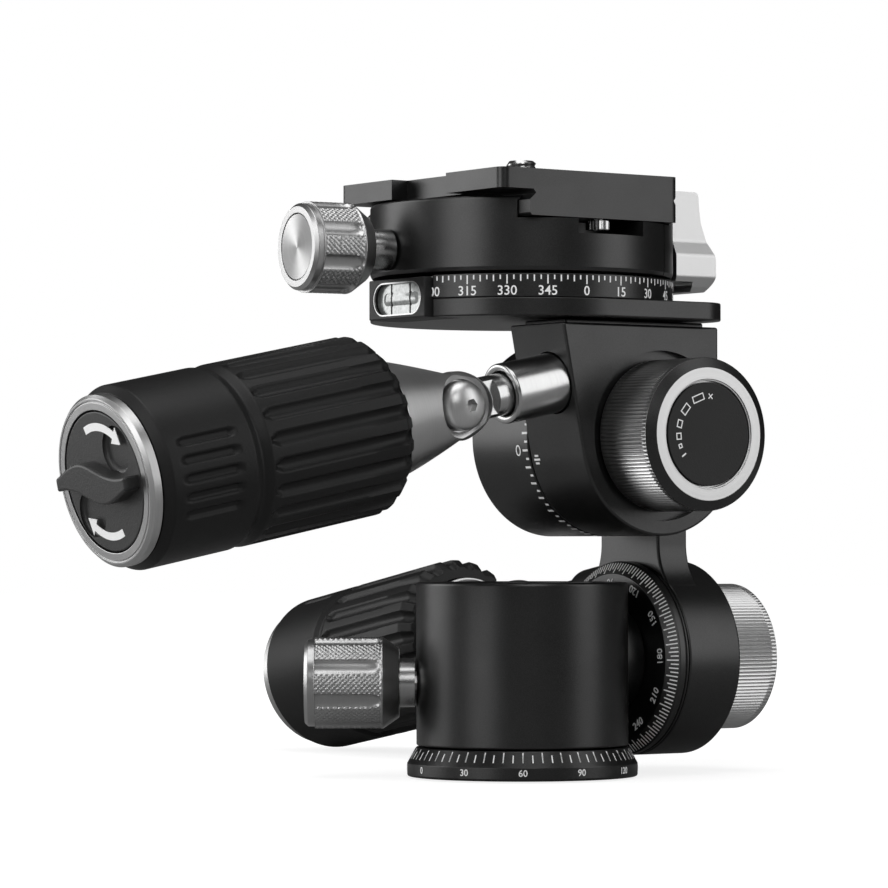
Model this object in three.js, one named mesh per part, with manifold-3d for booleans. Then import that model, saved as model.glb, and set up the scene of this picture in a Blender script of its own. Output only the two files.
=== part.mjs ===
// Two-axis worm-geared pan and tilt head with a panning quick-release clamp.
// Lengths are in millimetres and angles in degrees. +Z is up, the origin is the
// centre of the underside of the base, and -Y is the upper friction knob's side.
import * as THREE from "three";
import { mergeVertices } from "three/addons/utils/BufferGeometryUtils.js";
import Module from "manifold-3d";

const wasm = await Module();
wasm.setup();

const degree = Math.PI / 180;

// Facets of round pieces, and the teeth and thread of the worm drives
const wideSides = 30;
const middleSides = 18;
const smallSides = 10;
const arcSteps = 4;
const wheelTeeth = 24;
const threadTurns = 4;

// Clearances
const gap = 0.3;
const overrun = 1;

// Base flange, its spindle and the tripod thread
const flangeRadius = 23.7;
const flangeRim = 2.7;
const flangeHeight = 6;
const spindleRadius = 10;
const spindleShoulder = 27;
const spindleNeckRadius = 6;
const spindleTop = 33;
const spindleGrooveDepth = 1;
const spindleGrooveReach = 3.2;
const insertRadius = 6.8;
const insertHeight = 12;
const threadRadius = 4.1;
const retainerRadius = 12.6;
const retainerHeight = 4.2;

// Base housing, its hub and its top cover
const housingRadius = 21.8;
const housingTop = 39.8;
const housingRoof = 3;
const coverRadius = 17;
const coverThickness = 2.2;
const coverRecess = 0.4;
const hubRadius = 11.3;
const lowerAxisHeight = 23.7;

// Locking knobs: the large one on the base and the small one on the clamp
const baseKnobHeight = 19.1;
const baseKnobAngle = 144;
const baseKnobRadius = 9.4;
const baseKnobLength = 19.4;
const baseKnobStemRadius = 5;
const baseKnobStemLength = 3.5;
const panKnobAngle = 173.5;
const panKnobRadius = 9.2;
const panKnobLength = 14.6;
const panKnobStemRadius = 4.2;
const panKnobStemLength = 6.4;
const knobChamfer = 0.8;
const knobTaper = 2.3;
const knobTaperLength = 3.3;
const knobEndRadius = 6.6;
const knobEndDepth = 0.9;
const knobThreadDepth = 10;
const studRadius = 2.4;
const padLength = 2.4;

// Tilt units: housings, drums, axles and friction knobs
const drumRadius = 20.3;
const axleRadius = 4;
const lowerHousingStart = 28;
const lowerHousingDepth = 13.5;
const scaleDiscThickness = 4.1;
const scaleBevelRadius = 17.6;
const scaleBevelDepth = 1.9;
const axleReachInBase = 13.5;
const axleReachInKnob = 9;
const drumClearance = 9.4;
const upperAxisHeight = housingTop + drumClearance + drumRadius;
const upperHousingDepth = 18;
const frictionKnobRadius = 15.4;
const frictionKnobLength = 14.7;
const frictionBevel = 2.1;
const frictionBevelDepth = 1;
const frictionCapRadius = 10.4;
const frictionCapDepth = 1.2;
const frictionRingRadius = 11.6;
const padThickness = 1.1;
const springThickness = 0.7;
const springCone = 0.5;
const knobFloor = 3;
const knobRecessRadius = 17.3;
const knobRecessDepth = 1.8;

// Arm that joins the lower housing to the upper drum
const armWidth = 19.4;
const armThickness = 7.8;
const drumSetback = 0.9;
const upperAxisX = lowerHousingStart + armThickness - drumSetback - drumRadius;
const armFillet = 12;
const armBlendAngle = 25;
const drumRecessRadius = 14.6;
const drumRecessDepth = 10.4;
const rearCoverThickness = 2;
const axleNutRadius = 7;
const axleNutLength = 4.5;

// Worm drives
const wormOffset = 14.7;
const lowerWormPlane = 8;
const upperWormPlane = 11.1;
const lowerWormSlope = 9.6;
const upperWormSlope = 11.2;
const wheelWidth = 5.2;
const toothDepth = 1.3;
const wheelHubRadius = 6.6;
const wormNeckRadius = 2.1;
const wormRootRadius = 2.5;
const wormThreadRadius = 3.5;
const wormTail = 9.5;
const shaftRadius = 4.25;
const shaftStart = 15.3;
const sleeveRadius = 6.1;
const sleeveStart = 14.6;
const sleeveEnd = 33.3;
const sleeveBossRadius = 7.5;
const sleeveBossStart = 12.6;

// Folding handles, measured along the worm axis from the foot of the worm offset
const hingeDistance = 47.5;
const tongueHalf = 2.5;
const tongueStart = 36.6;
const hingePinRadius = 2;
const hingeHeadRadius = 4.4;
const hingeHeadHeight = 2.2;
const cheekRadius = 6.8;
const cheekHalf = 6.4;
const forkFloor = 6.6;
const coneLength = 17.2;
const coneFoot = 7.2;
const coneRadius = 12.4;
const coreRadius = 13;
const coreBore = 9.6;
const coreWall = 6;
const gripStart = 66.6;
const gripEnd = 124.4;
const gripRadius = 17.7;
const gripWaist = 16.9;
const gripEdge = 1.6;
const gripBandLength = 22;
const endRingRadius = 16.4;
const endRingLength = 2.4;
const endRingChamfer = 0.7;
const twistDiscRadius = 13.3;
const twistDiscThickness = 2;
const twistBladeHeight = 3.2;
const twistBladeWidth = 4.2;
const twistBladeReach = 12.3;
const lockRodRadius = 3;

// Upper housing block, seen along the tilt axis
const blockRise = 22.4;
const blockTop = upperAxisHeight + blockRise;
const blockRight = 29.4;
const plinthHeight = 0.9;
const plinthInset = 2.2;

// Panning base: flange with one square corner, scale ring and spindle
const panRadius = 31.2;
const panFlangeBottom = blockTop + plinthHeight + gap;
const panFlangeThickness = 3.7;
const panFlangeTop = panFlangeBottom + panFlangeThickness;
const panCornerRadius = 7.2;
const scaleRingDepth = 4.4;
const scaleRingBottom = panFlangeTop + gap;
const scaleRingTop = scaleRingBottom + scaleRingDepth;
const scaleRingBore = 26;
const clampLift = 0.6;
const clampBottom = scaleRingTop + clampLift;
const panSpindleRadius = 12;
const panSpindleReach = 7.4;
const panSpindleTop = clampBottom + panSpindleReach;
const panNeckRadius = 8;
const panNeckLength = 2.6;
const panNeckTop = panSpindleTop + panNeckLength;
const panNutRadius = 13.4;

// Spirit level in the scale ring
const levelProud = 0.3;
const levelFace = -panRadius - levelProud;
const levelHalfWidth = 9.8;
const levelDepth = 8.6;
const levelTop = scaleRingTop - gap;
const windowRadius = 3.4;
const windowCentre = 5.05;
const vialRadius = 3;
const vialHalfLength = 7.8;
const vialShoulder = 3;
const vialInset = 0.9;

// Clamp: body, sliding jaw, draw bolt and lever
const channelLift = 0.5;
const channelDepth = 4.4;
const channelFloor = panNeckTop + channelLift;
const clampTop = channelFloor + channelDepth;
const jawSplit = 16.6;
const drawBoltRadius = 2.2;
const drawBoltRise = 5.1;
const drawBoltHeight = clampBottom + drawBoltRise;
const panKnobHeight = drawBoltHeight;
const drawBoltReach = 6;
const boltEyeRadius = 2.8;
const stopNotchHalf = 8.2;
const stopNotchDepth = 3;
const clampFlatX = 28.4;
const leverOverlap = 2.1;
const leverHeight = 20.9;
const leverBottom = clampBottom - leverOverlap;
const leverTop = leverBottom + leverHeight;
const leverFront = -13.2;
const leverPivotX = 34;
const leverPivotY = 17;
const leverPinRadius = 1.3;
const leverRearRadius = 2.7;
const leverBulge = 10.7;

// Quick-release plate with its screws
const dovetailHalf = 19;
const plateLeft = -26;
const plateHalfLength = 28.4;
const shoulderLift = 0.8;
const shoulderThickness = 4.1;
const plateBottom = channelFloor + gap;
const grooveHeight = clampTop + gap;
const plateShoulder = grooveHeight + shoulderLift;
const plateTop = plateShoulder + shoulderThickness;
const grooveHalf = 1.3;
const grooveDepth = 1.5;
const plateEdge = 0.5;
const strapSlotHalf = 9.5;
const strapSlotWidth = 4;
const screwThreadRadius = 3.1;
const screwHeadRadius = 8.4;
const screwHeadThickness = 1.7;
const screwProud = 4.4;
const plateWebBottom = clampTop;
const ringWire = 0.7;
const ringReach = 6.4;
const stopScrewRadius = 2.4;
const stopScrewDrop = 2.2;
const stopScrewY = 25.6;
const plateTravel = 2.5;
const stopNotchStart = stopScrewY - plateTravel - stopScrewRadius - gap;
const stopScrewThread = 1.3;

const lowerKnobStart = lowerHousingDepth + gap;
const lowerKnobEnd = lowerKnobStart + frictionKnobLength;
const upperKnobStart = upperHousingDepth - knobRecessDepth + gap;
const upperKnobEnd = upperHousingDepth + gap + frictionKnobLength;
const wheelTip = wormOffset - wormThreadRadius - gap;
const wheelPitch = wheelTip - toothDepth / 2;

// Shape helpers. A solid is a closed mesh that can be joined and cut.

function solidOf(geometry) {
  const bare = geometry.clone();
  bare.deleteAttribute("normal");
  bare.deleteAttribute("uv");
  const merged = mergeVertices(bare);
  const corners = merged.index.array;
  const kept = [];
  for (let i = 0; i < corners.length; i += 3) {
    const [a, b, c] = corners.slice(i, i + 3);
    if (a !== b && b !== c && c !== a) kept.push(a, b, c);
  }
  const vertProperties = new Float32Array(merged.attributes.position.array);
  const triVerts = Uint32Array.from(kept);
  return new wasm.Manifold(new wasm.Mesh({ numProp: 3, vertProperties, triVerts }));
}

function geometryOf(solid) {
  const mesh = solid.getMesh();
  const geometry = new THREE.BufferGeometry();
  geometry.setAttribute("position", new THREE.BufferAttribute(mesh.vertProperties, 3));
  geometry.setIndex(new THREE.BufferAttribute(mesh.triVerts, 1));
  geometry.computeVertexNormals();
  return geometry;
}

function joined(...geometries) {
  return geometryOf(geometries.map(solidOf).reduce((whole, next) => whole.add(next)));
}

function cut(geometry, ...tools) {
  return geometryOf(tools.map(solidOf).reduce((whole, tool) => whole.subtract(tool), solidOf(geometry)));
}

function common(geometry, other) {
  return geometryOf(solidOf(geometry).intersect(solidOf(other)));
}

// A turned solid about Z; its profile lists [radius, height] counter-clockwise.
function turned(profile, sides) {
  const points = profile.map(([radius, height]) => new THREE.Vector2(radius, height));
  return new THREE.LatheGeometry(points, sides).rotateX(90 * degree);
}

function rod(radius, from, to, sides) {
  return turned([[0, from], [radius, from], [radius, to], [0, to]], sides);
}

function ring(inner, outer, from, to, sides) {
  return turned([[inner, from], [outer, from], [outer, to], [inner, to], [inner, from]], sides);
}

function box(minimum, maximum) {
  const low = new THREE.Vector3(...minimum);
  const high = new THREE.Vector3(...maximum);
  const size = high.clone().sub(low);
  const centre = high.add(low).multiplyScalar(0.5);
  return new THREE.BoxGeometry(size.x, size.y, size.z).translate(centre.x, centre.y, centre.z);
}

function outline(points) {
  return new THREE.Shape(points.map(([x, y]) => new THREE.Vector2(x, y)));
}

function extruded(shape, from, to, steps = arcSteps) {
  const settings = { depth: to - from, bevelEnabled: false, curveSegments: steps };
  return new THREE.ExtrudeGeometry(shape, settings).translate(0, 0, from);
}

// A frame whose Z and X axes are given; Y completes it.
function frame(origin, xAxis, zAxis) {
  const yAxis = new THREE.Vector3().crossVectors(zAxis, xAxis);
  return new THREE.Matrix4().makeBasis(xAxis, yAxis, zAxis).setPosition(origin);
}

function vector(x, y, z) {
  return new THREE.Vector3(x, y, z);
}

function inFrame(geometry, matrix) {
  return geometry.clone().applyMatrix4(matrix);
}

// Puts a shape drawn in X and Z, and extruded along -Y, upright.
const standing = frame(vector(0, 0, 0), vector(1, 0, 0), vector(0, -1, 0));

// Frames of the two tilt units: Z runs out along the tilt axis to the friction
// knob, Y is up, and the origin is on the inner face of the moving housing.
const lowerFrame = frame(vector(lowerHousingStart, 0, lowerAxisHeight), vector(0, 1, 0), vector(1, 0, 0));
const upperFrame = frame(
  vector(upperAxisX, -armWidth / 2 - gap, upperAxisHeight),
  vector(1, 0, 0),
  vector(0, -1, 0),
);

// Frame of a worm in its tilt unit: Z runs out along the handle, X is the hinge pin.
function wormFrame(side, slope, plane, pinIsUp) {
  const direction = vector(side * Math.cos(slope * degree), -Math.sin(slope * degree), 0);
  const normal = vector(side * Math.sin(slope * degree), Math.cos(slope * degree), 0);
  const origin = normal.clone().multiplyScalar(wormOffset).setZ(plane);
  return frame(origin, pinIsUp ? normal : vector(0, 0, 1), direction);
}

const lowerWorm = wormFrame(1, lowerWormSlope, lowerWormPlane, true);
const upperWorm = wormFrame(-1, upperWormSlope, upperWormPlane, false);

// Frame of a knob on a round wall: Z runs out along its stem.
function knobFrame(angle, radius, height) {
  const direction = vector(Math.cos(angle * degree), Math.sin(angle * degree), 0);
  return frame(direction.clone().multiplyScalar(radius).setZ(height), vector(0, 0, 1), direction);
}

const baseKnobFrame = knobFrame(baseKnobAngle, housingRadius, baseKnobHeight);
const panKnobFrame = knobFrame(panKnobAngle, panRadius, panKnobHeight);

// Finishes
function finish(color, roughness, metalness) {
  return new THREE.MeshStandardMaterial({ color, roughness, metalness });
}

const blackAnodised = finish(0x141416, 0.45, 0.6);
const silverSatin = finish(0xc4c5c6, 0.35, 0.95);
const polishedSteel = finish(0xd8d8da, 0.15, 1);
const blackRubber = finish(0x0c0c0d, 0.85, 0);
const darkKnurl = finish(0x6f7072, 0.45, 0.9);
const blackDisc = finish(0x101012, 0.5, 0.2);
const bronze = finish(0xa9803f, 0.4, 0.9);
const brass = finish(0xc9a552, 0.3, 0.95);
const springSteel = finish(0x8d8f92, 0.3, 1);
const sliderPlastic = finish(0xe8e6dc, 0.6, 0);
const levelFluid = finish(0xd9e6c8, 0.1, 0);

const head = new THREE.Group();

function groupIn(parent, matrix) {
  const group = new THREE.Group();
  group.applyMatrix4(matrix);
  parent.add(group);
  return group;
}

function add(parent, name, geometry, material) {
  const mesh = new THREE.Mesh(geometryOf(solidOf(geometry)), material);
  mesh.name = name;
  parent.add(mesh);
}

// Base flange: a bevelled disc with a grooved spindle that the housing turns on.
function baseFlange() {
  const seat = insertRadius + gap;
  return turned([
    [seat, 0],
    [flangeRadius, 0],
    [flangeRadius, flangeRim],
    [housingRadius, flangeHeight],
    [spindleRadius, flangeHeight],
    [spindleRadius, baseKnobHeight - spindleGrooveReach],
    [spindleRadius - spindleGrooveDepth, baseKnobHeight],
    [spindleRadius, baseKnobHeight + spindleGrooveReach],
    [spindleRadius, spindleShoulder],
    [spindleNeckRadius, spindleShoulder],
    [spindleNeckRadius, spindleTop],
    [0, spindleTop],
    [0, insertHeight + gap],
    [seat, insertHeight + gap],
    [seat, 0],
  ], wideSides);
}

function baseHousing() {
  const hub = rod(hubRadius, -lowerHousingStart, -scaleDiscThickness - 2 * gap, wideSides);
  const body = joined(
    rod(housingRadius, flangeHeight + gap, housingTop, wideSides),
    inFrame(hub, lowerFrame),
  );
  const bore = rod(spindleRadius + gap, flangeHeight, spindleShoulder + overrun, wideSides);
  const roomTop = housingTop - housingRoof;
  const room = rod(retainerRadius + gap, spindleShoulder, roomTop + overrun, wideSides);
  const lid = rod(coverRadius + gap, roomTop, housingTop + overrun, wideSides);
  const axleHole = rod(axleRadius + gap, -lowerHousingStart + spindleRadius, overrun, middleSides);
  const studHole = rod(studRadius + gap, -housingRadius + spindleRadius - overrun, overrun, smallSides);
  return cut(body, bore, room, lid, inFrame(axleHole, lowerFrame), inFrame(studHole, baseKnobFrame));
}

function addBase() {
  add(head, "base_flange", baseFlange(), blackAnodised);
  add(head, "tripod_thread_insert", ring(threadRadius, insertRadius, 0, insertHeight, middleSides), polishedSteel);
  const nutBottom = spindleShoulder + gap;
  const nut = ring(spindleNeckRadius + gap, retainerRadius, nutBottom, nutBottom + retainerHeight, middleSides);
  add(head, "base_retaining_nut", nut, springSteel);
  add(head, "base_housing", baseHousing(), blackAnodised);
  const coverTop = housingTop - coverRecess;
  add(head, "base_top_cover", rod(coverRadius, coverTop - coverThickness, coverTop, wideSides), blackAnodised);
}

// Locking knob: stem, body with chamfered ends, a threaded hole and an end recess.
function lockKnob(radius, length, stemRadius, stemLength) {
  const end = stemLength + length;
  const thread = studRadius + gap;
  const threadEnd = stemLength + knobThreadDepth;
  return turned([
    [thread, gap],
    [stemRadius, gap],
    [stemRadius, stemLength],
    [radius - knobTaper, stemLength],
    [radius, stemLength + knobTaperLength],
    [radius, end - knobChamfer],
    [radius - knobChamfer, end],
    [knobEndRadius + gap, end],
    [knobEndRadius + gap, end - knobEndDepth],
    [0, end - knobEndDepth],
    [0, threadEnd],
    [thread, threadEnd],
    [thread, gap],
  ], middleSides);
}

// A knob's pieces in its frame; wallDepth is the way in from the wall to the spindle.
function addLock(matrix, prefix, radius, length, stemRadius, stemLength, wallDepth) {
  const group = groupIn(head, matrix);
  const end = stemLength + length;
  const padStart = -wallDepth + gap;
  const studStart = padStart + padLength + gap;
  const stud = rod(studRadius, studStart, stemLength + knobThreadDepth - gap, smallSides);
  const cap = rod(knobEndRadius, end - knobEndDepth + gap, end - gap / 2, middleSides);
  add(group, prefix + "_lock_knob", lockKnob(radius, length, stemRadius, stemLength), silverSatin);
  add(group, prefix + "_lock_stud", stud, springSteel);
  add(group, prefix + "_lock_cap", cap, silverSatin);
  add(group, prefix + "_lock_pad", rod(studRadius, padStart, padStart + padLength, smallSides), brass);
}

// Worm wheel: teeth at the worm's plane and a hub that reaches the fixed drum.
function wormWheel(plane) {
  const steps = 4 * wheelTeeth;
  const points = [];
  for (let i = 0; i < steps; i += 1) {
    const angle = (i / steps) * 2 * Math.PI;
    const radius = i % 4 < 2 ? wheelTip : wheelTip - toothDepth;
    points.push([radius * Math.cos(angle), radius * Math.sin(angle)]);
  }
  const teeth = extruded(outline(points), plane - wheelWidth / 2, plane + wheelWidth / 2);
  const hub = rod(wheelHubRadius, 0, plane, middleSides);
  return cut(joined(teeth, hub), rod(axleRadius + gap, -overrun, plane + wheelWidth, middleSides));
}

// Screw thread about Z: rings of points whose radii follow the thread's section,
// which moves on by one point from ring to ring.
function wormThread() {
  const pitch = (2 * Math.PI * wheelPitch) / wheelTeeth;
  const sectionShares = [0, 0, 0.5, 1, 1, 0.5];
  const count = sectionShares.length;
  const rows = threadTurns * count;
  const vertices = [];
  const faces = [];
  for (let i = 0; i <= rows; i += 1) {
    const height = (i / count - threadTurns / 2) * pitch;
    for (let k = 0; k < count; k += 1) {
      const angle = (k / count) * 2 * Math.PI;
      const radius = wormRootRadius + sectionShares[(i - k + rows) % count] * (wormThreadRadius - wormRootRadius);
      vertices.push(radius * Math.cos(angle), radius * Math.sin(angle), height);
    }
  }
  const point = (row, k) => row * count + (k % count);
  const first = (rows + 1) * count;
  vertices.push(0, 0, (-threadTurns / 2) * pitch, 0, 0, (threadTurns / 2) * pitch);
  for (let k = 0; k < count; k += 1) {
    for (let i = 0; i < rows; i += 1) {
      faces.push(point(i, k), point(i, k + 1), point(i + 1, k + 1));
      faces.push(point(i, k), point(i + 1, k + 1), point(i + 1, k));
    }
    faces.push(first, point(0, k + 1), point(0, k));
    faces.push(first + 1, point(rows, k), point(rows, k + 1));
  }
  const geometry = new THREE.BufferGeometry();
  geometry.setAttribute("position", new THREE.Float32BufferAttribute(vertices, 3));
  geometry.setIndex(faces);
  return geometry;
}

// Turns a solid about Z so that its axis lies along X, the hinge pin's direction.
function alongPin(geometry) {
  return geometry.rotateY(90 * degree).translate(0, 0, hingeDistance);
}

// Worm shaft: thread, journal in the sleeve and a flat tongue for the hinge.
function worm() {
  const journal = turned([
    [0, -wormTail],
    [wormNeckRadius, -wormTail],
    [wormNeckRadius, shaftStart],
    [shaftRadius, shaftStart],
    [shaftRadius, hingeDistance],
    [0, hingeDistance],
  ], smallSides);
  const nose = alongPin(rod(shaftRadius, -tongueHalf, tongueHalf, smallSides));
  const far = hingeDistance + 2 * shaftRadius;
  const flats = [-1, 1].map((side) => {
    const edges = [side * tongueHalf, side * (tongueHalf + shaftRadius)].sort((a, b) => a - b);
    return box([edges[0], -2 * shaftRadius, tongueStart], [edges[1], 2 * shaftRadius, far]);
  });
  const pinHole = alongPin(rod(hingePinRadius + gap, -tongueHalf - overrun, tongueHalf + overrun, smallSides));
  return cut(joined(journal, wormThread(), nose), ...flats, pinHole);
}

// Handle core: a cone with two flat-faced cheeks for the hinge, and a tube under the grip.
function handleCore() {
  const coneEnd = hingeDistance + coneLength;
  const tubeEnd = gripEnd + gap;
  const body = turned([
    [0, hingeDistance],
    [coneFoot, hingeDistance],
    [coneRadius, coneEnd],
    [coreRadius, coneEnd],
    [coreRadius, tubeEnd],
    [coreBore, tubeEnd],
    [coreBore, coneEnd + coreWall],
    [0, coneEnd + coreWall],
  ], middleSides);
  const cheeks = alongPin(rod(cheekRadius, -cheekHalf, cheekHalf, middleSides));
  const faces = [-1, 1].map((side) => {
    const edges = [side * cheekHalf, side * coreRadius].sort((a, b) => a - b);
    return alongPin(rod(cheekRadius + gap, edges[0], edges[1], middleSides));
  });
  const slotHalf = tongueHalf + gap;
  const slot = box([-slotHalf, -coreRadius, 0], [slotHalf, coreRadius, hingeDistance + forkFloor]);
  const rodBore = rod(lockRodRadius + gap, hingeDistance, coneEnd + 2 * coreWall, smallSides);
  const pinBore = alongPin(rod(hingePinRadius + gap, -coreRadius, coreRadius, smallSides));
  const headSeat = alongPin(rod(hingeHeadRadius + gap, cheekHalf - hingeHeadHeight, coreRadius, smallSides));
  return cut(joined(body, cheeks), ...faces, slot, rodBore, pinBore, headSeat);
}

function handleGrip() {
  const inner = coreRadius + gap;
  const bandStart = gripEnd - gripBandLength;
  return turned([
    [inner, gripStart],
    [gripRadius - gripEdge, gripStart],
    [gripRadius, gripStart + gripEdge],
    [gripRadius, bandStart - gripEdge],
    [gripWaist, bandStart],
    [gripRadius, bandStart + gripEdge],
    [gripRadius, gripEnd - gripEdge],
    [gripRadius - gripEdge, gripEnd],
    [inner, gripEnd],
    [inner, gripStart],
  ], middleSides);
}

function handleEndRing() {
  const start = gripEnd + gap;
  const end = start + endRingLength;
  const inner = twistDiscRadius + gap;
  return turned([
    [inner, start],
    [endRingRadius, start],
    [endRingRadius, end - endRingChamfer],
    [endRingRadius - endRingChamfer, end],
    [inner, end],
    [inner, start],
  ], middleSides);
}

// Twist lock at the handle's end: a disc with an S-shaped finger blade.
function twistLock() {
  const start = gripEnd + 2 * gap;
  const end = start + twistDiscThickness;
  const disc = rod(twistDiscRadius, start, end, middleSides);
  const half = twistBladeWidth / 2;
  const shape = new THREE.Shape();
  shape.moveTo(-twistBladeReach, -half);
  shape.quadraticCurveTo(-twistBladeReach / 2, half / 2, 0, -half);
  shape.quadraticCurveTo(twistBladeReach / 2, -3 * half, twistBladeReach, -half);
  shape.lineTo(twistBladeReach, half);
  shape.quadraticCurveTo(twistBladeReach / 2, -half / 2, 0, half);
  shape.quadraticCurveTo(-twistBladeReach / 2, 3 * half, -twistBladeReach, half);
  return joined(disc, extruded(shape, start, end + twistBladeHeight, arcSteps));
}

function hingePin() {
  const tail = -cheekHalf + gap;
  const seat = cheekHalf - hingeHeadHeight + gap;
  const top = cheekHalf + gap;
  return alongPin(turned([
    [0, tail],
    [hingePinRadius, tail],
    [hingePinRadius, seat],
    [hingeHeadRadius, seat],
    [hingeHeadRadius, top - hingeHeadHeight / 2],
    [hingeHeadRadius / 2, top],
    [0, top],
  ], smallSides));
}

function addDrive(unit, matrix, prefix, plane) {
  const drive = groupIn(unit, matrix);
  const sleeve = ring(shaftRadius + gap, sleeveRadius, sleeveStart, sleeveEnd, middleSides);
  const rodEnd = gripEnd + gap;
  const rodStart = hingeDistance + shaftRadius + 2 * gap;
  add(unit, prefix + "_worm_wheel", wormWheel(plane), bronze);
  add(drive, prefix + "_worm", worm(), polishedSteel);
  add(drive, prefix + "_worm_sleeve", sleeve, polishedSteel);
  add(drive, prefix + "_handle_core", handleCore(), silverSatin);
  add(drive, prefix + "_hinge_pin", hingePin(), polishedSteel);
  add(drive, prefix + "_handle_grip", handleGrip(), blackRubber);
  add(drive, prefix + "_handle_end_ring", handleEndRing(), silverSatin);
  add(drive, prefix + "_twist_lock", twistLock(), blackDisc);
  add(drive, prefix + "_lock_rod", rod(lockRodRadius, rodStart, rodEnd, smallSides), springSteel);
}

// Tool that clears a housing for its wheel, worm, sleeve and axle.
function driveRoom(matrix, plane, depth) {
  const wheelRoom = rod(wheelTip + 2 * gap, -overrun, plane + wheelWidth / 2 + gap, middleSides);
  const axleRoom = rod(axleRadius + gap, -overrun, depth + overrun, middleSides);
  const wormRoom = rod(wormThreadRadius + 2 * gap, -wormTail - gap, sleeveStart, smallSides);
  const sleeveRoom = rod(sleeveRadius + gap, sleeveStart - gap, sleeveEnd, middleSides);
  return [wheelRoom, axleRoom, inFrame(wormRoom, matrix), inFrame(sleeveRoom, matrix)];
}

// Friction knob: an outer face with a bevel and a disc seat, hollow at the inner end.
function frictionKnob(start, end) {
  const thread = axleRadius + gap;
  const threadEnd = start + axleReachInKnob + gap;
  const seat = frictionCapRadius + gap;
  return turned([
    [thread, start + knobFloor + gap],
    [frictionRingRadius + gap, start + knobFloor + gap],
    [frictionRingRadius + gap, start],
    [frictionKnobRadius, start],
    [frictionKnobRadius, end - frictionBevelDepth],
    [frictionKnobRadius - frictionBevel, end],
    [seat, end],
    [seat, end - frictionCapDepth],
    [0, end - frictionCapDepth],
    [0, threadEnd],
    [thread, threadEnd],
    [thread, start + knobFloor + gap],
  ], wideSides);
}

function discSpring(start) {
  const inner = axleRadius + gap;
  const high = start + springCone;
  return turned([
    [inner, high],
    [frictionRingRadius, start],
    [frictionRingRadius, start + springThickness],
    [inner, high + springThickness],
    [inner, high],
  ], middleSides);
}

function addFriction(unit, prefix, start, end) {
  const bore = axleRadius + gap;
  const pad = ring(bore, frictionRingRadius, start, start + padThickness, middleSides);
  const cap = rod(frictionCapRadius, end - frictionCapDepth + gap, end, middleSides);
  add(unit, prefix + "_friction_pad", pad, sliderPlastic);
  add(unit, prefix + "_disc_spring", discSpring(start + padThickness + gap), springSteel);
  add(unit, prefix + "_friction_knob", frictionKnob(start, end), darkKnurl);
  add(unit, prefix + "_friction_cap", cap, blackDisc);
}

// Where the arm's side fillet leaves the riser and meets the drum, from the drum's centre.
function armFillets() {
  const centreX = armWidth / 2 + armFillet;
  const reach = drumRadius + armFillet;
  const centreY = Math.sqrt(reach * reach - centreX * centreX);
  const meet = Math.atan2(centreY, centreX);
  return { centreX, centreY, meet };
}

// Riser seen along the lower tilt axis: it flares down to the drum on both sides.
function riserFront() {
  const { centreX, centreY, meet } = armFillets();
  const shape = new THREE.Shape();
  shape.moveTo(0, 0);
  shape.lineTo(drumRadius * Math.cos(meet), drumRadius * Math.sin(meet));
  shape.absarc(centreX, centreY, armFillet, Math.PI + meet, Math.PI, true);
  shape.lineTo(armWidth / 2, upperAxisHeight - lowerAxisHeight + drumRadius);
  shape.lineTo(-armWidth / 2, upperAxisHeight - lowerAxisHeight + drumRadius);
  shape.absarc(-centreX, centreY, armFillet, 0, -meet, true);
  return inFrame(extruded(shape, 0, armThickness), lowerFrame);
}

// Riser seen from the front: an upright plate that runs on into the upper drum.
function riserSide() {
  const outer = lowerHousingStart + armThickness;
  const blend = armBlendAngle * degree;
  const meetX = upperAxisX + drumRadius * Math.cos(blend);
  const meetZ = upperAxisHeight + drumRadius * Math.sin(blend);
  const bend = upperAxisHeight + (drumRadius - (outer - upperAxisX) * Math.cos(blend)) / Math.sin(blend);
  const shape = outline([
    [lowerHousingStart - overrun, 0],
    [outer, 0],
    [outer, bend],
    [meetX, meetZ],
    [lowerHousingStart - overrun, upperAxisHeight],
  ]);
  return inFrame(extruded(shape, -drumRadius - overrun, drumRadius + overrun), standing);
}

function tiltArm() {
  const lowerDrum = inFrame(rod(drumRadius, 0, lowerHousingDepth, wideSides), lowerFrame);
  const upperDrum = inFrame(rod(drumRadius, -gap - armWidth, -gap, wideSides), upperFrame);
  const back = -gap - armWidth;
  const recess = rod(drumRecessRadius, back - overrun, back + drumRecessDepth, middleSides);
  const axleHole = rod(axleRadius + gap, back, overrun, middleSides);
  const rooms = driveRoom(lowerWorm, lowerWormPlane, lowerHousingDepth);
  const boss = inFrame(rod(sleeveBossRadius, sleeveBossStart, drumRadius, middleSides), lowerWorm);
  return cut(
    joined(lowerDrum, inFrame(boss, lowerFrame), common(riserFront(), riserSide()), upperDrum),
    ...rooms.map((room) => inFrame(room, lowerFrame)),
    inFrame(recess, upperFrame),
    inFrame(axleHole, upperFrame),
  );
}

// Upper housing: a drum with a block on top whose left face is square to the worm.
function upperHousing() {
  const slope = upperWormSlope * degree;
  const rise = blockTop - upperAxisHeight;
  const right = blockRight - upperAxisX;
  const left = -(drumRadius + rise * Math.sin(slope)) / Math.cos(slope);
  const tangent = [-drumRadius * Math.cos(slope), -drumRadius * Math.sin(slope)];
  const block = outline([[0, 0], [right, 0], [right, rise], [left, rise], tangent]);
  const drum = rod(drumRadius, 0, upperHousingDepth, wideSides);
  const plinth = box(
    [left + plinthInset, rise - overrun, plinthInset],
    [right - plinthInset, rise + plinthHeight, upperHousingDepth - plinthInset],
  );
  const body = joined(drum, extruded(block, 0, upperHousingDepth), plinth);
  const floor = upperHousingDepth - knobRecessDepth;
  const recess = rod(knobRecessRadius, floor, upperHousingDepth + overrun, wideSides);
  return cut(body, ...driveRoom(upperWorm, upperWormPlane, upperHousingDepth), recess);
}

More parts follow.
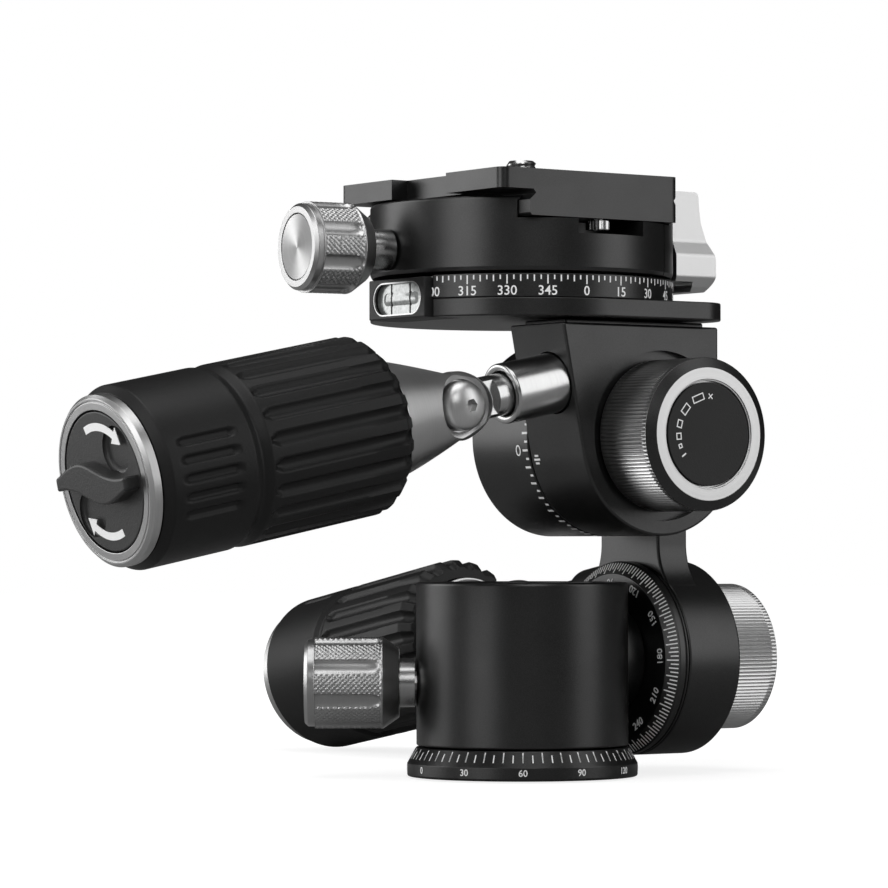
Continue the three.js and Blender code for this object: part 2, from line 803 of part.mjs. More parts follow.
// Fixed disc behind the lower housing; its scale lies on the bevel of its rim.
function scaleDisc() {
  const bore = axleRadius + gap;
  const back = -gap - scaleDiscThickness;
  return turned([
    [bore, back],
    [scaleBevelRadius, back],
    [drumRadius, back + scaleBevelDepth],
    [drumRadius, -gap],
    [bore, -gap],
    [bore, back],
  ], wideSides);
}

function addLowerUnit() {
  const unit = groupIn(head, lowerFrame);
  const axleStart = -lowerHousingStart + axleReachInBase;
  const axle = rod(axleRadius, axleStart, lowerKnobStart + axleReachInKnob, middleSides);
  add(unit, "lower_scale_disc", scaleDisc(), blackAnodised);
  add(unit, "lower_tilt_axle", axle, springSteel);
  addDrive(unit, lowerWorm, "lower", lowerWormPlane);
  addFriction(unit, "lower", lowerKnobStart, lowerKnobEnd);
}

function addUpperUnit() {
  const unit = groupIn(head, upperFrame);
  const back = -gap - armWidth;
  const recessFloor = back + drumRecessDepth;
  const nutTop = recessFloor - gap;
  const nut = ring(axleRadius + gap, axleNutRadius, nutTop - axleNutLength, nutTop, smallSides);
  const cover = rod(drumRecessRadius - gap, back, back + rearCoverThickness, middleSides);
  const axleStart = nutTop - axleNutLength;
  const axle = rod(axleRadius, axleStart, upperKnobStart + axleReachInKnob, middleSides);
  add(head, "tilt_arm", tiltArm(), blackAnodised);
  add(unit, "upper_axle_nut", nut, springSteel);
  add(unit, "upper_drum_cover", cover, blackAnodised);
  add(unit, "upper_tilt_axle", axle, springSteel);
  add(unit, "upper_housing", upperHousing(), blackAnodised);
  addDrive(unit, upperWorm, "upper", upperWormPlane);
  addFriction(unit, "upper", upperKnobStart, upperKnobEnd);
}

// Room for the spirit level, cut from the flange and the scale ring at the left.
function levelRoom() {
  return box(
    [levelFace - overrun, -levelHalfWidth - gap, panFlangeBottom - overrun],
    [levelFace + levelDepth + gap, levelHalfWidth + gap, scaleRingTop + overrun],
  );
}

// The level's block, whose flat outer face stands a little proud of the flange.
function levelBlock() {
  return box(
    [levelFace, -levelHalfWidth, panFlangeBottom],
    [levelFace + levelDepth, levelHalfWidth, levelTop],
  );
}

// Round-ended pocket in the level's frame that the vial lies in.
function levelWindow(height) {
  const shape = new THREE.Shape();
  shape.absarc(windowCentre, 0, windowRadius, -Math.PI / 2, Math.PI / 2, false);
  shape.absarc(-windowCentre, 0, windowRadius, Math.PI / 2, 1.5 * Math.PI, false);
  const depth = vialInset + 2 * vialRadius + gap;
  const facing = frame(vector(levelFace, 0, height), vector(0, -1, 0), vector(-1, 0, 0));
  return inFrame(extruded(shape, -depth, overrun), facing);
}

// Barrel-shaped vial lying along Y, just behind the frame's face.
function levelVial(height) {
  const vial = turned([
    [0, -vialHalfLength],
    [vialRadius / 2, -vialHalfLength],
    [vialRadius, -vialHalfLength + vialShoulder],
    [vialRadius, vialHalfLength - vialShoulder],
    [vialRadius / 2, vialHalfLength],
    [0, vialHalfLength],
  ], smallSides);
  const lie = vector(levelFace + vialInset + vialRadius, 0, height);
  return inFrame(vial, frame(lie, vector(1, 0, 0), vector(0, 1, 0)));
}

// Panning flange: round, but for the front right corner, which is square.
function panFlange() {
  const corner = panRadius - panCornerRadius;
  const shape = new THREE.Shape();
  shape.moveTo(0, -panRadius);
  shape.lineTo(corner, -panRadius);
  shape.absarc(corner, -corner, panCornerRadius, -Math.PI / 2, 0, false);
  shape.lineTo(panRadius, 0);
  shape.absarc(0, 0, panRadius, 0, 1.5 * Math.PI, false);
  const plate = extruded(shape, panFlangeBottom, panFlangeTop, middleSides);
  const spindle = turned([
    [0, panFlangeBottom + overrun],
    [panSpindleRadius, panFlangeBottom + overrun],
    [panSpindleRadius, panSpindleTop],
    [panNeckRadius, panSpindleTop],
    [panNeckRadius, panNeckTop],
    [0, panNeckTop],
  ], wideSides);
  return cut(joined(plate, spindle), levelRoom());
}

function addPanBase() {
  const scaleRing = ring(scaleRingBore, panRadius, scaleRingBottom, scaleRingTop, wideSides);
  const nut = ring(panNeckRadius + gap, panNutRadius, panSpindleTop + gap, panNeckTop, middleSides);
  const middle = (panFlangeBottom + levelTop) / 2;
  add(head, "pan_flange", panFlange(), blackAnodised);
  add(head, "pan_scale_ring", cut(scaleRing, levelRoom()), blackAnodised);
  add(head, "level_frame", cut(levelBlock(), levelWindow(middle)), blackDisc);
  add(head, "level_vial", levelVial(middle), levelFluid);
  add(head, "pan_retaining_nut", nut, springSteel);
}

// Clamp outline in X and Z, run along Y: channel for the dovetail between two jaws.
function channel() {
  const wall = dovetailHalf + gap;
  const far = panRadius + overrun;
  const lipFoot = grooveHeight - grooveHalf;
  const lipTip = wall - (clampTop - lipFoot) * (grooveDepth / grooveHalf);
  const shape = outline([
    [-wall, channelFloor],
    [wall, channelFloor],
    [wall, lipFoot],
    [lipTip, clampTop],
    [lipTip, clampTop + overrun],
    [-lipTip, clampTop + overrun],
    [-lipTip, clampTop],
    [-wall, lipFoot],
  ]);
  return inFrame(extruded(shape, -far, far), standing);
}

// A round block with the channel, and a flat on the right where the lever lies.
function clampBlank() {
  const block = rod(panRadius, clampBottom, clampTop, wideSides);
  return cut(block, channel(), jawSide(clampFlatX));
}

// Tool that parts the sliding jaw from the body; it keeps what is beyond its plane.
function jawSide(start) {
  const far = panRadius + overrun;
  return box([start, -far, clampBottom - overrun], [far, far, clampTop + overrun]);
}

function drawBoltRod(radius, from, to) {
  const lie = frame(vector(0, leverPivotY, drawBoltHeight), vector(0, 0, 1), vector(1, 0, 0));
  return inFrame(rod(radius, from, to, smallSides), lie);
}

// An upright rod on the lever's pivot, as high as the draw bolt and its play.
function pivotRod(radius, play) {
  const half = drawBoltRadius + play;
  const upright = rod(radius, drawBoltHeight - half, drawBoltHeight + half, middleSides);
  return upright.translate(leverPivotX, leverPivotY, 0);
}

// Draw bolt: a rod through the jaw that ends in an eye on the lever's pin.
function drawBolt() {
  const shank = drawBoltRod(drawBoltRadius, jawSplit - drawBoltReach, leverPivotX);
  return cut(joined(shank, pivotRod(boltEyeRadius, 0)), pivotRod(leverPinRadius + gap, overrun));
}

function clampBody() {
  const bore = rod(panSpindleRadius + gap, clampBottom - overrun, panSpindleTop, wideSides);
  const pocket = rod(panNutRadius + gap, panSpindleTop - gap, channelFloor + overrun, middleSides);
  const notchFloor = channelFloor - stopNotchDepth;
  const notches = [-1, 1].map((side) => {
    const edges = [side * stopNotchStart, side * (panRadius + overrun)].sort((a, b) => a - b);
    return box([-stopNotchHalf, edges[0], notchFloor], [stopNotchHalf, edges[1], channelFloor + overrun]);
  });
  const studHole = rod(studRadius + gap, -panRadius + panSpindleRadius - overrun, overrun, smallSides);
  return cut(
    clampBlank(),
    jawSide(jawSplit - gap),
    bore,
    pocket,
    ...notches,
    inFrame(studHole, panKnobFrame),
    drawBoltRod(drawBoltRadius + gap, jawSplit - drawBoltReach - gap, panRadius),
  );
}

function clampJaw() {
  const jaw = common(clampBlank(), jawSide(jawSplit));
  return cut(jaw, drawBoltRod(drawBoltRadius + gap, 0, panRadius + overrun));
}

// Lever seen from above: straight along the jaw, with a cam at the inner rear corner.
function leverPlan(inner) {
  const outer = inner + leverBulge;
  const rear = leverRearRadius;
  const shape = new THREE.Shape();
  shape.moveTo(inner, leverFront);
  shape.lineTo(outer, leverFront);
  shape.lineTo(outer, leverPivotY);
  shape.absarc(outer - rear, leverPivotY, rear, 0, Math.PI / 2, false);
  shape.absarc(inner + rear, leverPivotY, rear, Math.PI / 2, Math.PI, false);
  return extruded(shape, leverBottom, leverTop);
}

// Lever: a wavy bar along the jaw, slotted at its pin for the draw bolt's eye.
function clampLever() {
  const inner = clampFlatX + gap;
  // The skirt passes outside the level's corners as the clamp pans.
  const low = Math.hypot(levelFace, levelHalfWidth) + gap;
  const rear = leverPivotY + leverRearRadius + overrun;
  const sideShares = [
    [0.8, 0], [1, 0.1], [1, 0.32], [0.84, 0.46], [0.6, 0.68], [0.5, 0.85], [0.46, 1],
  ];
  const rise = sideShares.map(([out, up]) => [inner + out * leverBulge, leverBottom + up * leverHeight]);
  const side = outline([[low, leverBottom], ...rise, [inner, leverTop], [inner, clampBottom], [low, clampBottom]]);
  const bar = inFrame(extruded(side, -rear, -leverFront + overrun), standing);
  const slotHalf = drawBoltRadius + gap;
  const slot = box(
    [inner - overrun, leverPivotY - boltEyeRadius - gap, drawBoltHeight - slotHalf],
    [leverPivotX + boltEyeRadius + gap, rear, drawBoltHeight + slotHalf],
  );
  return joined(cut(common(bar, leverPlan(inner)), slot), pivotRod(leverPinRadius, overrun));
}

function addClamp() {
  add(head, "clamp_body", clampBody(), blackAnodised);
  add(head, "clamp_jaw", clampJaw(), blackAnodised);
  add(head, "clamp_draw_bolt", drawBolt(), polishedSteel);
  add(head, "clamp_lever", clampLever(), silverSatin);
}

// Plate section in X and Z: a dovetail with V grooves under a wider shoulder.
function plateSection() {
  const low = grooveHeight - grooveHalf;
  const high = grooveHeight + grooveHalf;
  const shoulderX = dovetailHalf - (grooveDepth * (high - plateShoulder)) / grooveHalf;
  return outline([
    [-dovetailHalf + plateEdge, plateBottom],
    [dovetailHalf - plateEdge, plateBottom],
    [dovetailHalf, plateBottom + plateEdge],
    [dovetailHalf, low],
    [dovetailHalf - grooveDepth, grooveHeight],
    [dovetailHalf, high],
    [dovetailHalf, plateTop],
    [plateLeft, plateTop],
    [plateLeft, plateShoulder],
    [-shoulderX, plateShoulder],
    [-dovetailHalf + grooveDepth, grooveHeight],
    [-dovetailHalf, low],
    [-dovetailHalf, plateBottom + plateEdge],
  ]);
}

function cameraPlate() {
  const bar = inFrame(extruded(plateSection(), -plateHalfLength, plateHalfLength), standing);
  const slot = box(
    [plateLeft - overrun, -strapSlotHalf, plateShoulder - overrun],
    [plateLeft + strapSlotWidth, strapSlotHalf, plateTop + overrun],
  );
  const screwHole = rod(screwThreadRadius + gap, plateBottom, plateTop + overrun, smallSides);
  const headRoom = rod(screwHeadRadius + gap, plateBottom - overrun, plateWebBottom, middleSides);
  const stopHoles = [-1, 1].map((side) => {
    const hole = rod(stopScrewThread + gap, plateBottom - overrun, plateWebBottom, smallSides);
    return hole.translate(0, side * stopScrewY, 0);
  });
  return cut(bar, slot, screwHole, headRoom, ...stopHoles);
}

function cameraScrew() {
  const headTop = plateWebBottom - gap;
  return turned([
    [0, headTop - screwHeadThickness],
    [screwHeadRadius, headTop - screwHeadThickness],
    [screwHeadRadius, headTop],
    [screwThreadRadius, headTop],
    [screwThreadRadius, plateTop + screwProud],
    [0, plateTop + screwProud],
  ], middleSides);
}

// Folding D ring under the camera screw: a half ring closed by its hinge bar.
function screwRing() {
  const top = plateWebBottom - 2 * gap - screwHeadThickness;
  const shape = new THREE.Shape();
  shape.moveTo(-ringReach, 0);
  shape.absarc(0, 0, ringReach, Math.PI, 0, true);
  shape.lineTo(ringReach, -2 * ringWire);
  shape.lineTo(-ringReach, -2 * ringWire);
  const opening = new THREE.Path();
  const inner = ringReach - 2 * ringWire;
  opening.moveTo(inner, 0);
  opening.absarc(0, 0, inner, 0, Math.PI, false);
  shape.holes.push(opening);
  return extruded(shape, top - 2 * ringWire, top, 2 * arcSteps);
}

function stopScrew(side) {
  const screw = turned([
    [0, plateBottom - stopScrewDrop],
    [stopScrewRadius, plateBottom - stopScrewDrop],
    [stopScrewRadius, plateBottom - gap],
    [stopScrewThread, plateBottom - gap],
    [stopScrewThread, plateWebBottom - gap],
    [0, plateWebBottom - gap],
  ], smallSides);
  return screw.translate(0, side * stopScrewY, 0);
}

function addPlate() {
  add(head, "camera_plate", cameraPlate(), blackAnodised);
  add(head, "camera_screw", cameraScrew(), polishedSteel);
  add(head, "camera_screw_ring", screwRing(), polishedSteel);
  add(head, "front_stop_screw", stopScrew(-1), polishedSteel);
  add(head, "rear_stop_screw", stopScrew(1), polishedSteel);
}

addBase();
addLock(
  baseKnobFrame,
  "base",
  baseKnobRadius,
  baseKnobLength,
  baseKnobStemRadius,
  baseKnobStemLength,
  housingRadius - spindleRadius,
);
addLowerUnit();
addUpperUnit();
addPanBase();
addClamp();
addLock(
  panKnobFrame,
  "pan",
  panKnobRadius,
  panKnobLength,
  panKnobStemRadius,
  panKnobStemLength,
  panRadius - panSpindleRadius,
);
addPlate();

export default head;
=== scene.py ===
"""Looks of a two-axis worm-geared pan and tilt head, built over its fixed frame.

Lengths in this script are in millimetres in a piece's own frame, and become metres
when the piece is placed. Angles are in degrees unless a name says otherwise.
"""
import math

import bmesh
import bpy
import numpy as np
from bpy.props import FloatProperty, FloatVectorProperty, IntProperty, PointerProperty
from mathutils import Matrix, Vector


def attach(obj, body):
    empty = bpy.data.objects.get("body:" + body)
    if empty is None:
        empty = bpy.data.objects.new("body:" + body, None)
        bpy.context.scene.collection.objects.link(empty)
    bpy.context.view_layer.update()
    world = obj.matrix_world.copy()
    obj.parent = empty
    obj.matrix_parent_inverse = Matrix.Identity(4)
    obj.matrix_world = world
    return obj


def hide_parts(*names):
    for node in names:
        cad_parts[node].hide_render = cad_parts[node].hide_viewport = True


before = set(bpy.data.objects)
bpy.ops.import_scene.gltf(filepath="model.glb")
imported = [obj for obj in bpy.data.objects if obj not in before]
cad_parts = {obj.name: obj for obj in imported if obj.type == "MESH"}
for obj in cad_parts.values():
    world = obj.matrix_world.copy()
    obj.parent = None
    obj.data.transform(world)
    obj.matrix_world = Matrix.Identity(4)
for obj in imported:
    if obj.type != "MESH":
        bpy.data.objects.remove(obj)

bl_info = {
    "name": "Pan and Tilt Head",
    "version": (1, 0, 0),
    "blender": (4, 5, 0),
    "location": "View3D > Sidebar > Head",
    "description": "Builds the visual model of a worm-geared pan and tilt head",
    "category": "Object",
}

MILLIMETRE = 0.001
TURN = 2 * math.pi
GAP = 0.3
OVERRUN = 1.0
MERGE_DISTANCE = 0.0008

# How far print stands out of a surface, and how deep it is sunk in it
PRINT_PROUD = 0.05
PRINT_SINK = 0.12

# Facets: columns of a turned surface, and steps of an eased corner
SIDES = 144
SMALL_SIDES = 64
EASE_STEPS = 4
EASE = 0.3
HOLD = 0.05
SHARP_ANGLE = 32

# Faces that bend less than the first angle, in radians, are one flat. A bend of more than
# the second, beside a flat with this many times its neighbour's area, is shaded sharp.
FLAT_ANGLE = 0.004
BORDER_ANGLE = 0.1
BROAD = 6

# Base
FLANGE_RADIUS = 23.7
FLANGE_RIM = 2.7
FLANGE_HEIGHT = 6.0
INSERT_RADIUS = 7.1
INSERT_TOP = 12.3
SPINDLE_RADIUS = 10.0
SPINDLE_TOP = 27.0
BASE_LOCK_ANGLE = 144
BASE_LOCK_HEIGHT = 19.1
SPINDLE_END_RADIUS = 6.0
SPINDLE_END = 33.0
HOUSING_RADIUS = 21.8
HOUSING_TOP = 39.8
HUB_RADIUS = 11.3
COVER_RADIUS = 17.0
BASE_SCALE_START = 173.6

# Locking knobs
KNOB_END_RADIUS = 6.6
KNOB_TAPER = 2.3
KNOB_TAPER_LENGTH = 3.3
STUD_HOLE_RADIUS = 2.7

# Tilt units
DRUM_RADIUS = 20.3
DRUM_EASE = 0.45
LID_RADIUS = 14.3
AXLE_RADIUS = 4.0
LOWER_START = 28.0
LOWER_AXIS_HEIGHT = 23.7
LOWER_DEPTH = 13.5
UPPER_DEPTH = 18.0
RECESS_RADIUS = 17.3
RECESS_DEPTH = 1.8
DISC_FACE = -4.4
DISC_FACE_RADIUS = 17.6
DISC_BEVEL = 1.9
UPPER_AXIS_X = 14.6
UPPER_AXIS_HEIGHT = 69.5
ARM_WIDTH = 19.4
ARM_THICKNESS = 7.8
ARM_FILLET = 12.0
FRICTION_RADIUS = 15.4
FRICTION_LENGTH = 14.7
FRICTION_BEVEL = 2.1
FRICTION_HOLLOW_RADIUS = 11.9
DISC_SEAT_RADIUS = 10.7
DISC_SEAT_DEPTH = 1.2

# Worm drives and handles, measured along the worm's axis
WORM_OFFSET = 14.7
LOWER_SLOPE = 9.6
LOWER_WORM_PLANE = 8.0
UPPER_SLOPE = 11.2
UPPER_WORM_PLANE = 11.1
SHAFT_RADIUS = 4.25
SLEEVE_RADIUS = 6.1
SLEEVE_START = 14.6
SLEEVE_END = 33.3
BOSS_RADIUS = 7.5
HINGE = 47.5
TONGUE_HALF = 2.5
CHEEK_RADIUS = 6.85
CHEEK_HALF = 6.4
PIN_HEAD_RADIUS = 4.9
PIN_HOLE_RADIUS = 2.3
CONE_END = 64.7
CORE_RADIUS = 13.0
GRIP_START = 66.6
GRIP_END = 124.4
GRIP_RADIUS = 17.7
BAND_START = 102.4
END_RING_RADIUS = 16.4
TWIST_RADIUS = 13.3
TWIST_FACE = GRIP_END + 2 * GAP + 2.0

# Panning base and clamp
PAN_RADIUS = 31.2
PAN_BOTTOM = 93.1
PAN_FLANGE_TOP = 96.8
RING_TOP = 101.5
PAN_SPINDLE_STEP = 109.5
CLAMP_BEVEL = 0.22
CLAMP_BOTTOM = 102.1
CLAMP_TOP = 117.0
CHANNEL_FLOOR = 112.6
CLAMP_FLAT_X = 28.4
JAW_SPLIT = 16.6
NOTCH_START = 20.4
LEVER_BULGE = 10.7
LEVER_PIVOT = (34.0, 17.0)
PAN_LOCK_ANGLE = 173.5
PAN_LOCK_HEIGHT = 107.2
DRAW_BOLT_HEIGHT = PAN_LOCK_HEIGHT
PLATE_BOTTOM = 112.9
PLATE_TOP = 122.2
STOP_PLACE = 25.6

# Spirit level
LEVEL_FACE = -31.5
LEVEL_HALF = 9.8
LEVEL_DEPTH = 8.6
WINDOW_RADIUS = 3.4
WINDOW_CENTRE = 5.05
VIAL_RADIUS = 3.0
VIAL_HALF = 7.8
VIAL_LINES = (-3.4, 3.1)


# Node trees


class Value:
    """A node's output socket that takes part in arithmetic."""

    def __init__(self, graph, socket):
        self.graph = graph
        self.socket = socket

    def __add__(self, other):
        return self.graph.math("ADD", self, other)

    def __radd__(self, other):
        return self.graph.math("ADD", other, self)

    def __mul__(self, other):
        return self.graph.math("MULTIPLY", self, other)

    def __truediv__(self, other):
        return self.graph.math("DIVIDE", self, other)


class Graph:
    """A node tree and the nodes that are added to it."""

    def __init__(self, tree):
        self.tree = tree
        self.count = 0

    def node(self, kind, settings=None, **values):
        """Adds a node; values go by the names of its inputs, with _ for a space."""
        made = self.tree.nodes.new(kind)
        made.location = (self.count % 12 * 220, -(self.count // 12) * 320)
        self.count += 1
        for key, value in (settings or {}).items():
            setattr(made, key, value)
        for key, value in values.items():
            self.feed(made.inputs[key.replace("_", " ")], value)
        return made

    def feed(self, socket, value):
        if isinstance(value, Value):
            self.tree.links.new(value.socket, socket)
        else:
            socket.default_value = value

    def out(self, node, name=0):
        return Value(self, node.outputs[name])

    def math(self, operation, *terms):
        made = self.node("ShaderNodeMath", {"operation": operation})
        for socket, term in zip(made.inputs, terms):
            self.feed(socket, term)
        return self.out(made)

    def mix(self, factor, first, second):
        made = self.node("ShaderNodeMix", {"data_type": "RGBA"})
        for index, value in ((0, factor), (6, first), (7, second)):
            self.feed(made.inputs[index], value)
        return self.out(made, 2)


def shade(value):
    """A grey, or a colour given as three numbers, as four numbers."""
    return (*value, 1.0) if isinstance(value, tuple) else (value, value, value, 1.0)


class Finish:
    """A material whose shader is fed by nodes, with the usual sources ready."""

    def __init__(self, name):
        self.material = bpy.data.materials.new(name)
        self.material.use_nodes = True
        tree = self.material.node_tree
        tree.nodes.clear()
        self.graph = Graph(tree)
        output = self.graph.node("ShaderNodeOutputMaterial")
        self.shader = self.graph.node("ShaderNodeBsdfPrincipled")
        tree.links.new(self.shader.outputs[0], output.inputs[0])
        self.place = self.graph.out(self.graph.node("ShaderNodeTexCoord"), "Object")

    def constants(self, **values):
        for key, value in values.items():
            self.shader.inputs[key.replace("_", " ")].default_value = value

    def feed(self, **values):
        for key, value in values.items():
            self.graph.feed(self.shader.inputs[key.replace("_", " ")], value)

    def scaled(self, size):
        """Object coordinates in units of size millimetres."""
        rate = 1 / (size * MILLIMETRE)
        made = self.graph.node("ShaderNodeMapping", Vector=self.place, Scale=(rate, rate, rate))
        return self.graph.out(made)

    def noise(self, size, detail, vector=None):
        where = self.scaled(size) if vector is None else vector
        made = self.graph.node("ShaderNodeTexNoise", Vector=where, Scale=1.0, Detail=detail)
        return self.graph.out(made, 0)

    def cells(self, size):
        made = self.graph.node("ShaderNodeTexVoronoi", Vector=self.scaled(size), Scale=1.0)
        return self.graph.out(made, 0)

    def about_axis(self):
        """Radius, height and angle about a turned piece's own axis."""
        spot = self.graph.node("ShaderNodeAttribute", {"attribute_name": "turned"})
        parts = self.graph.node("ShaderNodeSeparateXYZ", Vector=self.graph.out(spot, "Vector"))
        return [self.graph.out(parts, index) for index in range(3)]

    def rings(self, size):
        """Fine rings about a turned piece's own axis, size millimetres apart."""
        radius, height, _ = self.about_axis()
        place = self.graph.node("ShaderNodeCombineXYZ", X=radius / size, Y=height / size)
        return self.noise(size, 1.0, self.graph.out(place))

    def edges(self):
        """0 on flat places and 1 on convex edges."""
        point = self.graph.out(self.graph.node("ShaderNodeNewGeometry"), "Pointiness")
        made = self.graph.node("ShaderNodeMapRange", Value=point, From_Min=0.5, From_Max=0.56)
        return self.graph.out(made)

    def bump(self, height, strength, depth):
        """A bump of height, depth millimetres deep."""
        distance = depth * MILLIMETRE
        made = self.graph.node("ShaderNodeBump", Height=height, Strength=strength, Distance=distance)
        return self.graph.out(made)


def blasted_metal(name, dark, light, metallic, roughness, depth):
    """Bead-blasted metal: its base colour runs from dark to light, its grain is depth mm deep."""
    look = Finish(name)
    graph = look.graph
    grain = look.noise(0.22, 2.0)
    cloud = look.noise(9.0, 2.0)
    look.feed(
        Base_Color=graph.mix(grain * 0.7 + cloud * 0.3, shade(dark), shade(light)),
        Roughness=roughness - 0.05 + grain * 0.1,
        Normal=look.bump(grain, 0.5, depth),
    )
    look.constants(Metallic=metallic)
    return look.material


def turned_metal(name, dark, light, roughness, size, depth, wear=0.0):
    """Machined metal with rings size mm apart about its axis, paler at its edges by wear."""
    look = Finish(name)
    graph = look.graph
    rings = look.rings(size)
    grain = look.noise(0.18, 1.0)
    smudge = look.noise(6.0, 2.0)
    base = graph.mix(rings * 0.6 + smudge * 0.4, shade(dark), shade(light))
    if wear:
        base = graph.mix(look.edges() * wear, base, shade(min(light * 1.3, 1.0)))
    look.feed(
        Base_Color=base,
        Roughness=roughness - 0.04 + smudge * 0.05 + grain * 0.04,
        Normal=look.bump(rings + grain * 0.25, 0.6, depth),
    )
    look.constants(Metallic=1.0)
    return look.material


def spun_metal(name, dark, light, roughness):
    """A faced end with fine rings, and a painted highlight: its base colour is paler in sectors that fan out
    from its middle.
    """
    look = Finish(name)
    graph = look.graph
    rings = look.rings(0.14)
    grain = look.noise(0.2, 1.0)
    _, _, angle = look.about_axis()
    # Painted highlight: two opposite sectors about the axis get a paler base colour, as a turned face's shine
    # would
    painted_sheen_fans = graph.math("SINE", angle * 2.0 + 0.5) * 0.5 + 0.5
    look.feed(
        Base_Color=graph.mix(painted_sheen_fans * painted_sheen_fans * 0.75 + rings * 0.25, shade(dark), shade(light)),
        Roughness=roughness + grain * 0.06,
        Normal=look.bump(rings + grain * 0.2, 0.5, 0.012),
    )
    look.constants(Metallic=0.75)
    return look.material


def cast_matter(name, dark, light, roughness, size, depth, specular=0.5):
    """Plastic or rubber: even colour with a pebbled grain of size mm, depth mm deep."""
    look = Finish(name)
    graph = look.graph
    grain = look.noise(size, 3.0)
    cells = look.cells(size * 2.2)
    dust = look.noise(14.0, 3.0)
    look.feed(
        Base_Color=graph.mix(dust * 0.6 + grain * 0.4, shade(dark), shade(light)),
        Roughness=roughness - 0.06 + dust * 0.12,
        Normal=look.bump(grain + cells * 0.5, 0.6, depth),
    )
    look.constants(Specular_IOR_Level=specular)
    return look.material


def print_ink(name):
    """White print with slightly uneven cover."""
    look = Finish(name)
    cover = look.noise(0.35, 2.0)
    look.feed(
        Base_Color=look.graph.mix(cover, shade(0.84), shade(0.95)),
        Roughness=0.45 + cover * 0.1,
        Normal=look.bump(cover, 0.3, 0.02),
    )
    return look.material


def vial_glass(name):
    """The level's vial: mottled silvery fluid under a clear coat."""
    look = Finish(name)
    graph = look.graph
    cloud = look.noise(1.7, 3.0)
    spots = look.cells(0.7)
    tone = cloud * 0.75 + spots * 0.4
    look.feed(
        Base_Color=graph.mix(tone, shade((0.08, 0.085, 0.085)), shade((0.5, 0.52, 0.51))),
        Roughness=0.14 + cloud * 0.12,
        Normal=look.bump(cloud, 0.35, 0.05),
    )
    look.constants(Metallic=0.25, Coat_Weight=0.8)
    return look.material


MATERIALS = {}


def make_materials():
    MATERIALS.update(
        black=blasted_metal("Black anodised", 0.026, 0.066, 0.9, 0.34, 0.022),
        silver=turned_metal("Silver satin", 0.34, 0.5, 0.33, 0.14, 0.01),
        # The end caps' base colour holds a painted highlight in sectors
        spun=spun_metal("Spun cap", 0.1, 0.56, 0.3),
        knurled=turned_metal("Knurled grey", 0.32, 0.5, 0.3, 0.2, 0.012, 0.8),
        pale_knurl=turned_metal("Knurled silver", 0.36, 0.52, 0.34, 0.2, 0.012, 0.8),
        steel=turned_metal("Polished steel", 0.36, 0.5, 0.25, 0.2, 0.006),
        satin=turned_metal("Satin steel", 0.42, 0.58, 0.38, 0.16, 0.01),
        spring=turned_metal("Spring steel", 0.25, 0.4, 0.32, 0.3, 0.01),
        bronze=blasted_metal("Bronze", (0.3, 0.19, 0.09), (0.42, 0.28, 0.13), 0.95, 0.38, 0.02),
        brass=blasted_metal("Brass", (0.46, 0.36, 0.16), (0.6, 0.48, 0.24), 0.95, 0.32, 0.02),
        rubber=cast_matter("Black rubber", 0.004, 0.009, 0.46, 0.3, 0.035, 0.22),
        disc=cast_matter("Black disc", 0.005, 0.012, 0.5, 0.25, 0.03, 0.3),
        lock=cast_matter("Dark lock", 0.012, 0.026, 0.42, 0.25, 0.05, 0.4),
        plastic=cast_matter("Slider plastic", 0.6, 0.72, 0.5, 0.6, 0.02),
        ink=print_ink("White print"),
        vial=vial_glass("Level vial"),
    )


# Frames. Each is a matrix in millimetres whose Z is the piece's own axis.


def axes(origin, x_axis, z_axis):
    """The frame at an origin with these two axes."""
    x_axis, z_axis = Vector(x_axis), Vector(z_axis)
    y_axis = z_axis.cross(x_axis)
    made = Matrix((x_axis, y_axis, z_axis)).transposed().to_4x4()
    made.translation = origin
    return made


def worm_frame(side, slope, plane, pin_is_up):
    """A worm's frame in its tilt unit: it slopes down to one side, in a plane of the unit."""
    slope = math.radians(slope)
    way = Vector((side * math.cos(slope), -math.sin(slope), 0))
    normal = Vector((side * math.sin(slope), math.cos(slope), 0))
    origin = normal * WORM_OFFSET + Vector((0, 0, plane))
    return axes(origin, normal if pin_is_up else (0, 0, 1), way)


def knob_frame(angle, radius, height):
    """The frame of a knob that stands out of a round wall."""
    way = Vector((math.cos(math.radians(angle)), math.sin(math.radians(angle)), 0))
    return axes(way * radius + Vector((0, 0, height)), (0, 0, 1), way)


UPRIGHT = Matrix.Identity(4)
STANDING = axes((0, 0, 0), (1, 0, 0), (0, -1, 0))
LOWER = axes((LOWER_START, 0, LOWER_AXIS_HEIGHT), (0, 1, 0), (1, 0, 0))
UPPER = axes((UPPER_AXIS_X, -ARM_WIDTH / 2 - GAP, UPPER_AXIS_HEIGHT), (1, 0, 0), (0, -1, 0))
LOWER_WORM = worm_frame(1, LOWER_SLOPE, LOWER_WORM_PLANE, True)
UPPER_WORM = worm_frame(-1, UPPER_SLOPE, UPPER_WORM_PLANE, False)
BASE_KNOB = knob_frame(BASE_LOCK_ANGLE, HOUSING_RADIUS, BASE_LOCK_HEIGHT)
PAN_KNOB = knob_frame(PAN_LOCK_ANGLE, PAN_RADIUS, PAN_LOCK_HEIGHT)


# Mesh building


def mesh_of(points, faces):
    """A mesh of points and faces, merged where they meet."""
    mesh = bpy.data.meshes.new("made")
    mesh.from_pydata(points, [], faces)
    return tidied(mesh)


def tidied(mesh):
    """Merges coincident points and turns every face outwards."""
    edit = bmesh.new()
    edit.from_mesh(mesh)
    bmesh.ops.remove_doubles(edit, verts=edit.verts, dist=MERGE_DISTANCE)
    bmesh.ops.delete(edit, geom=[edge for edge in edit.edges if not edge.link_faces], context="EDGES")
    bmesh.ops.delete(edit, geom=[vert for vert in edit.verts if not vert.link_faces], context="VERTS")
    bmesh.ops.recalc_face_normals(edit, faces=edit.faces)
    edit.to_mesh(mesh)
    edit.free()
    return mesh


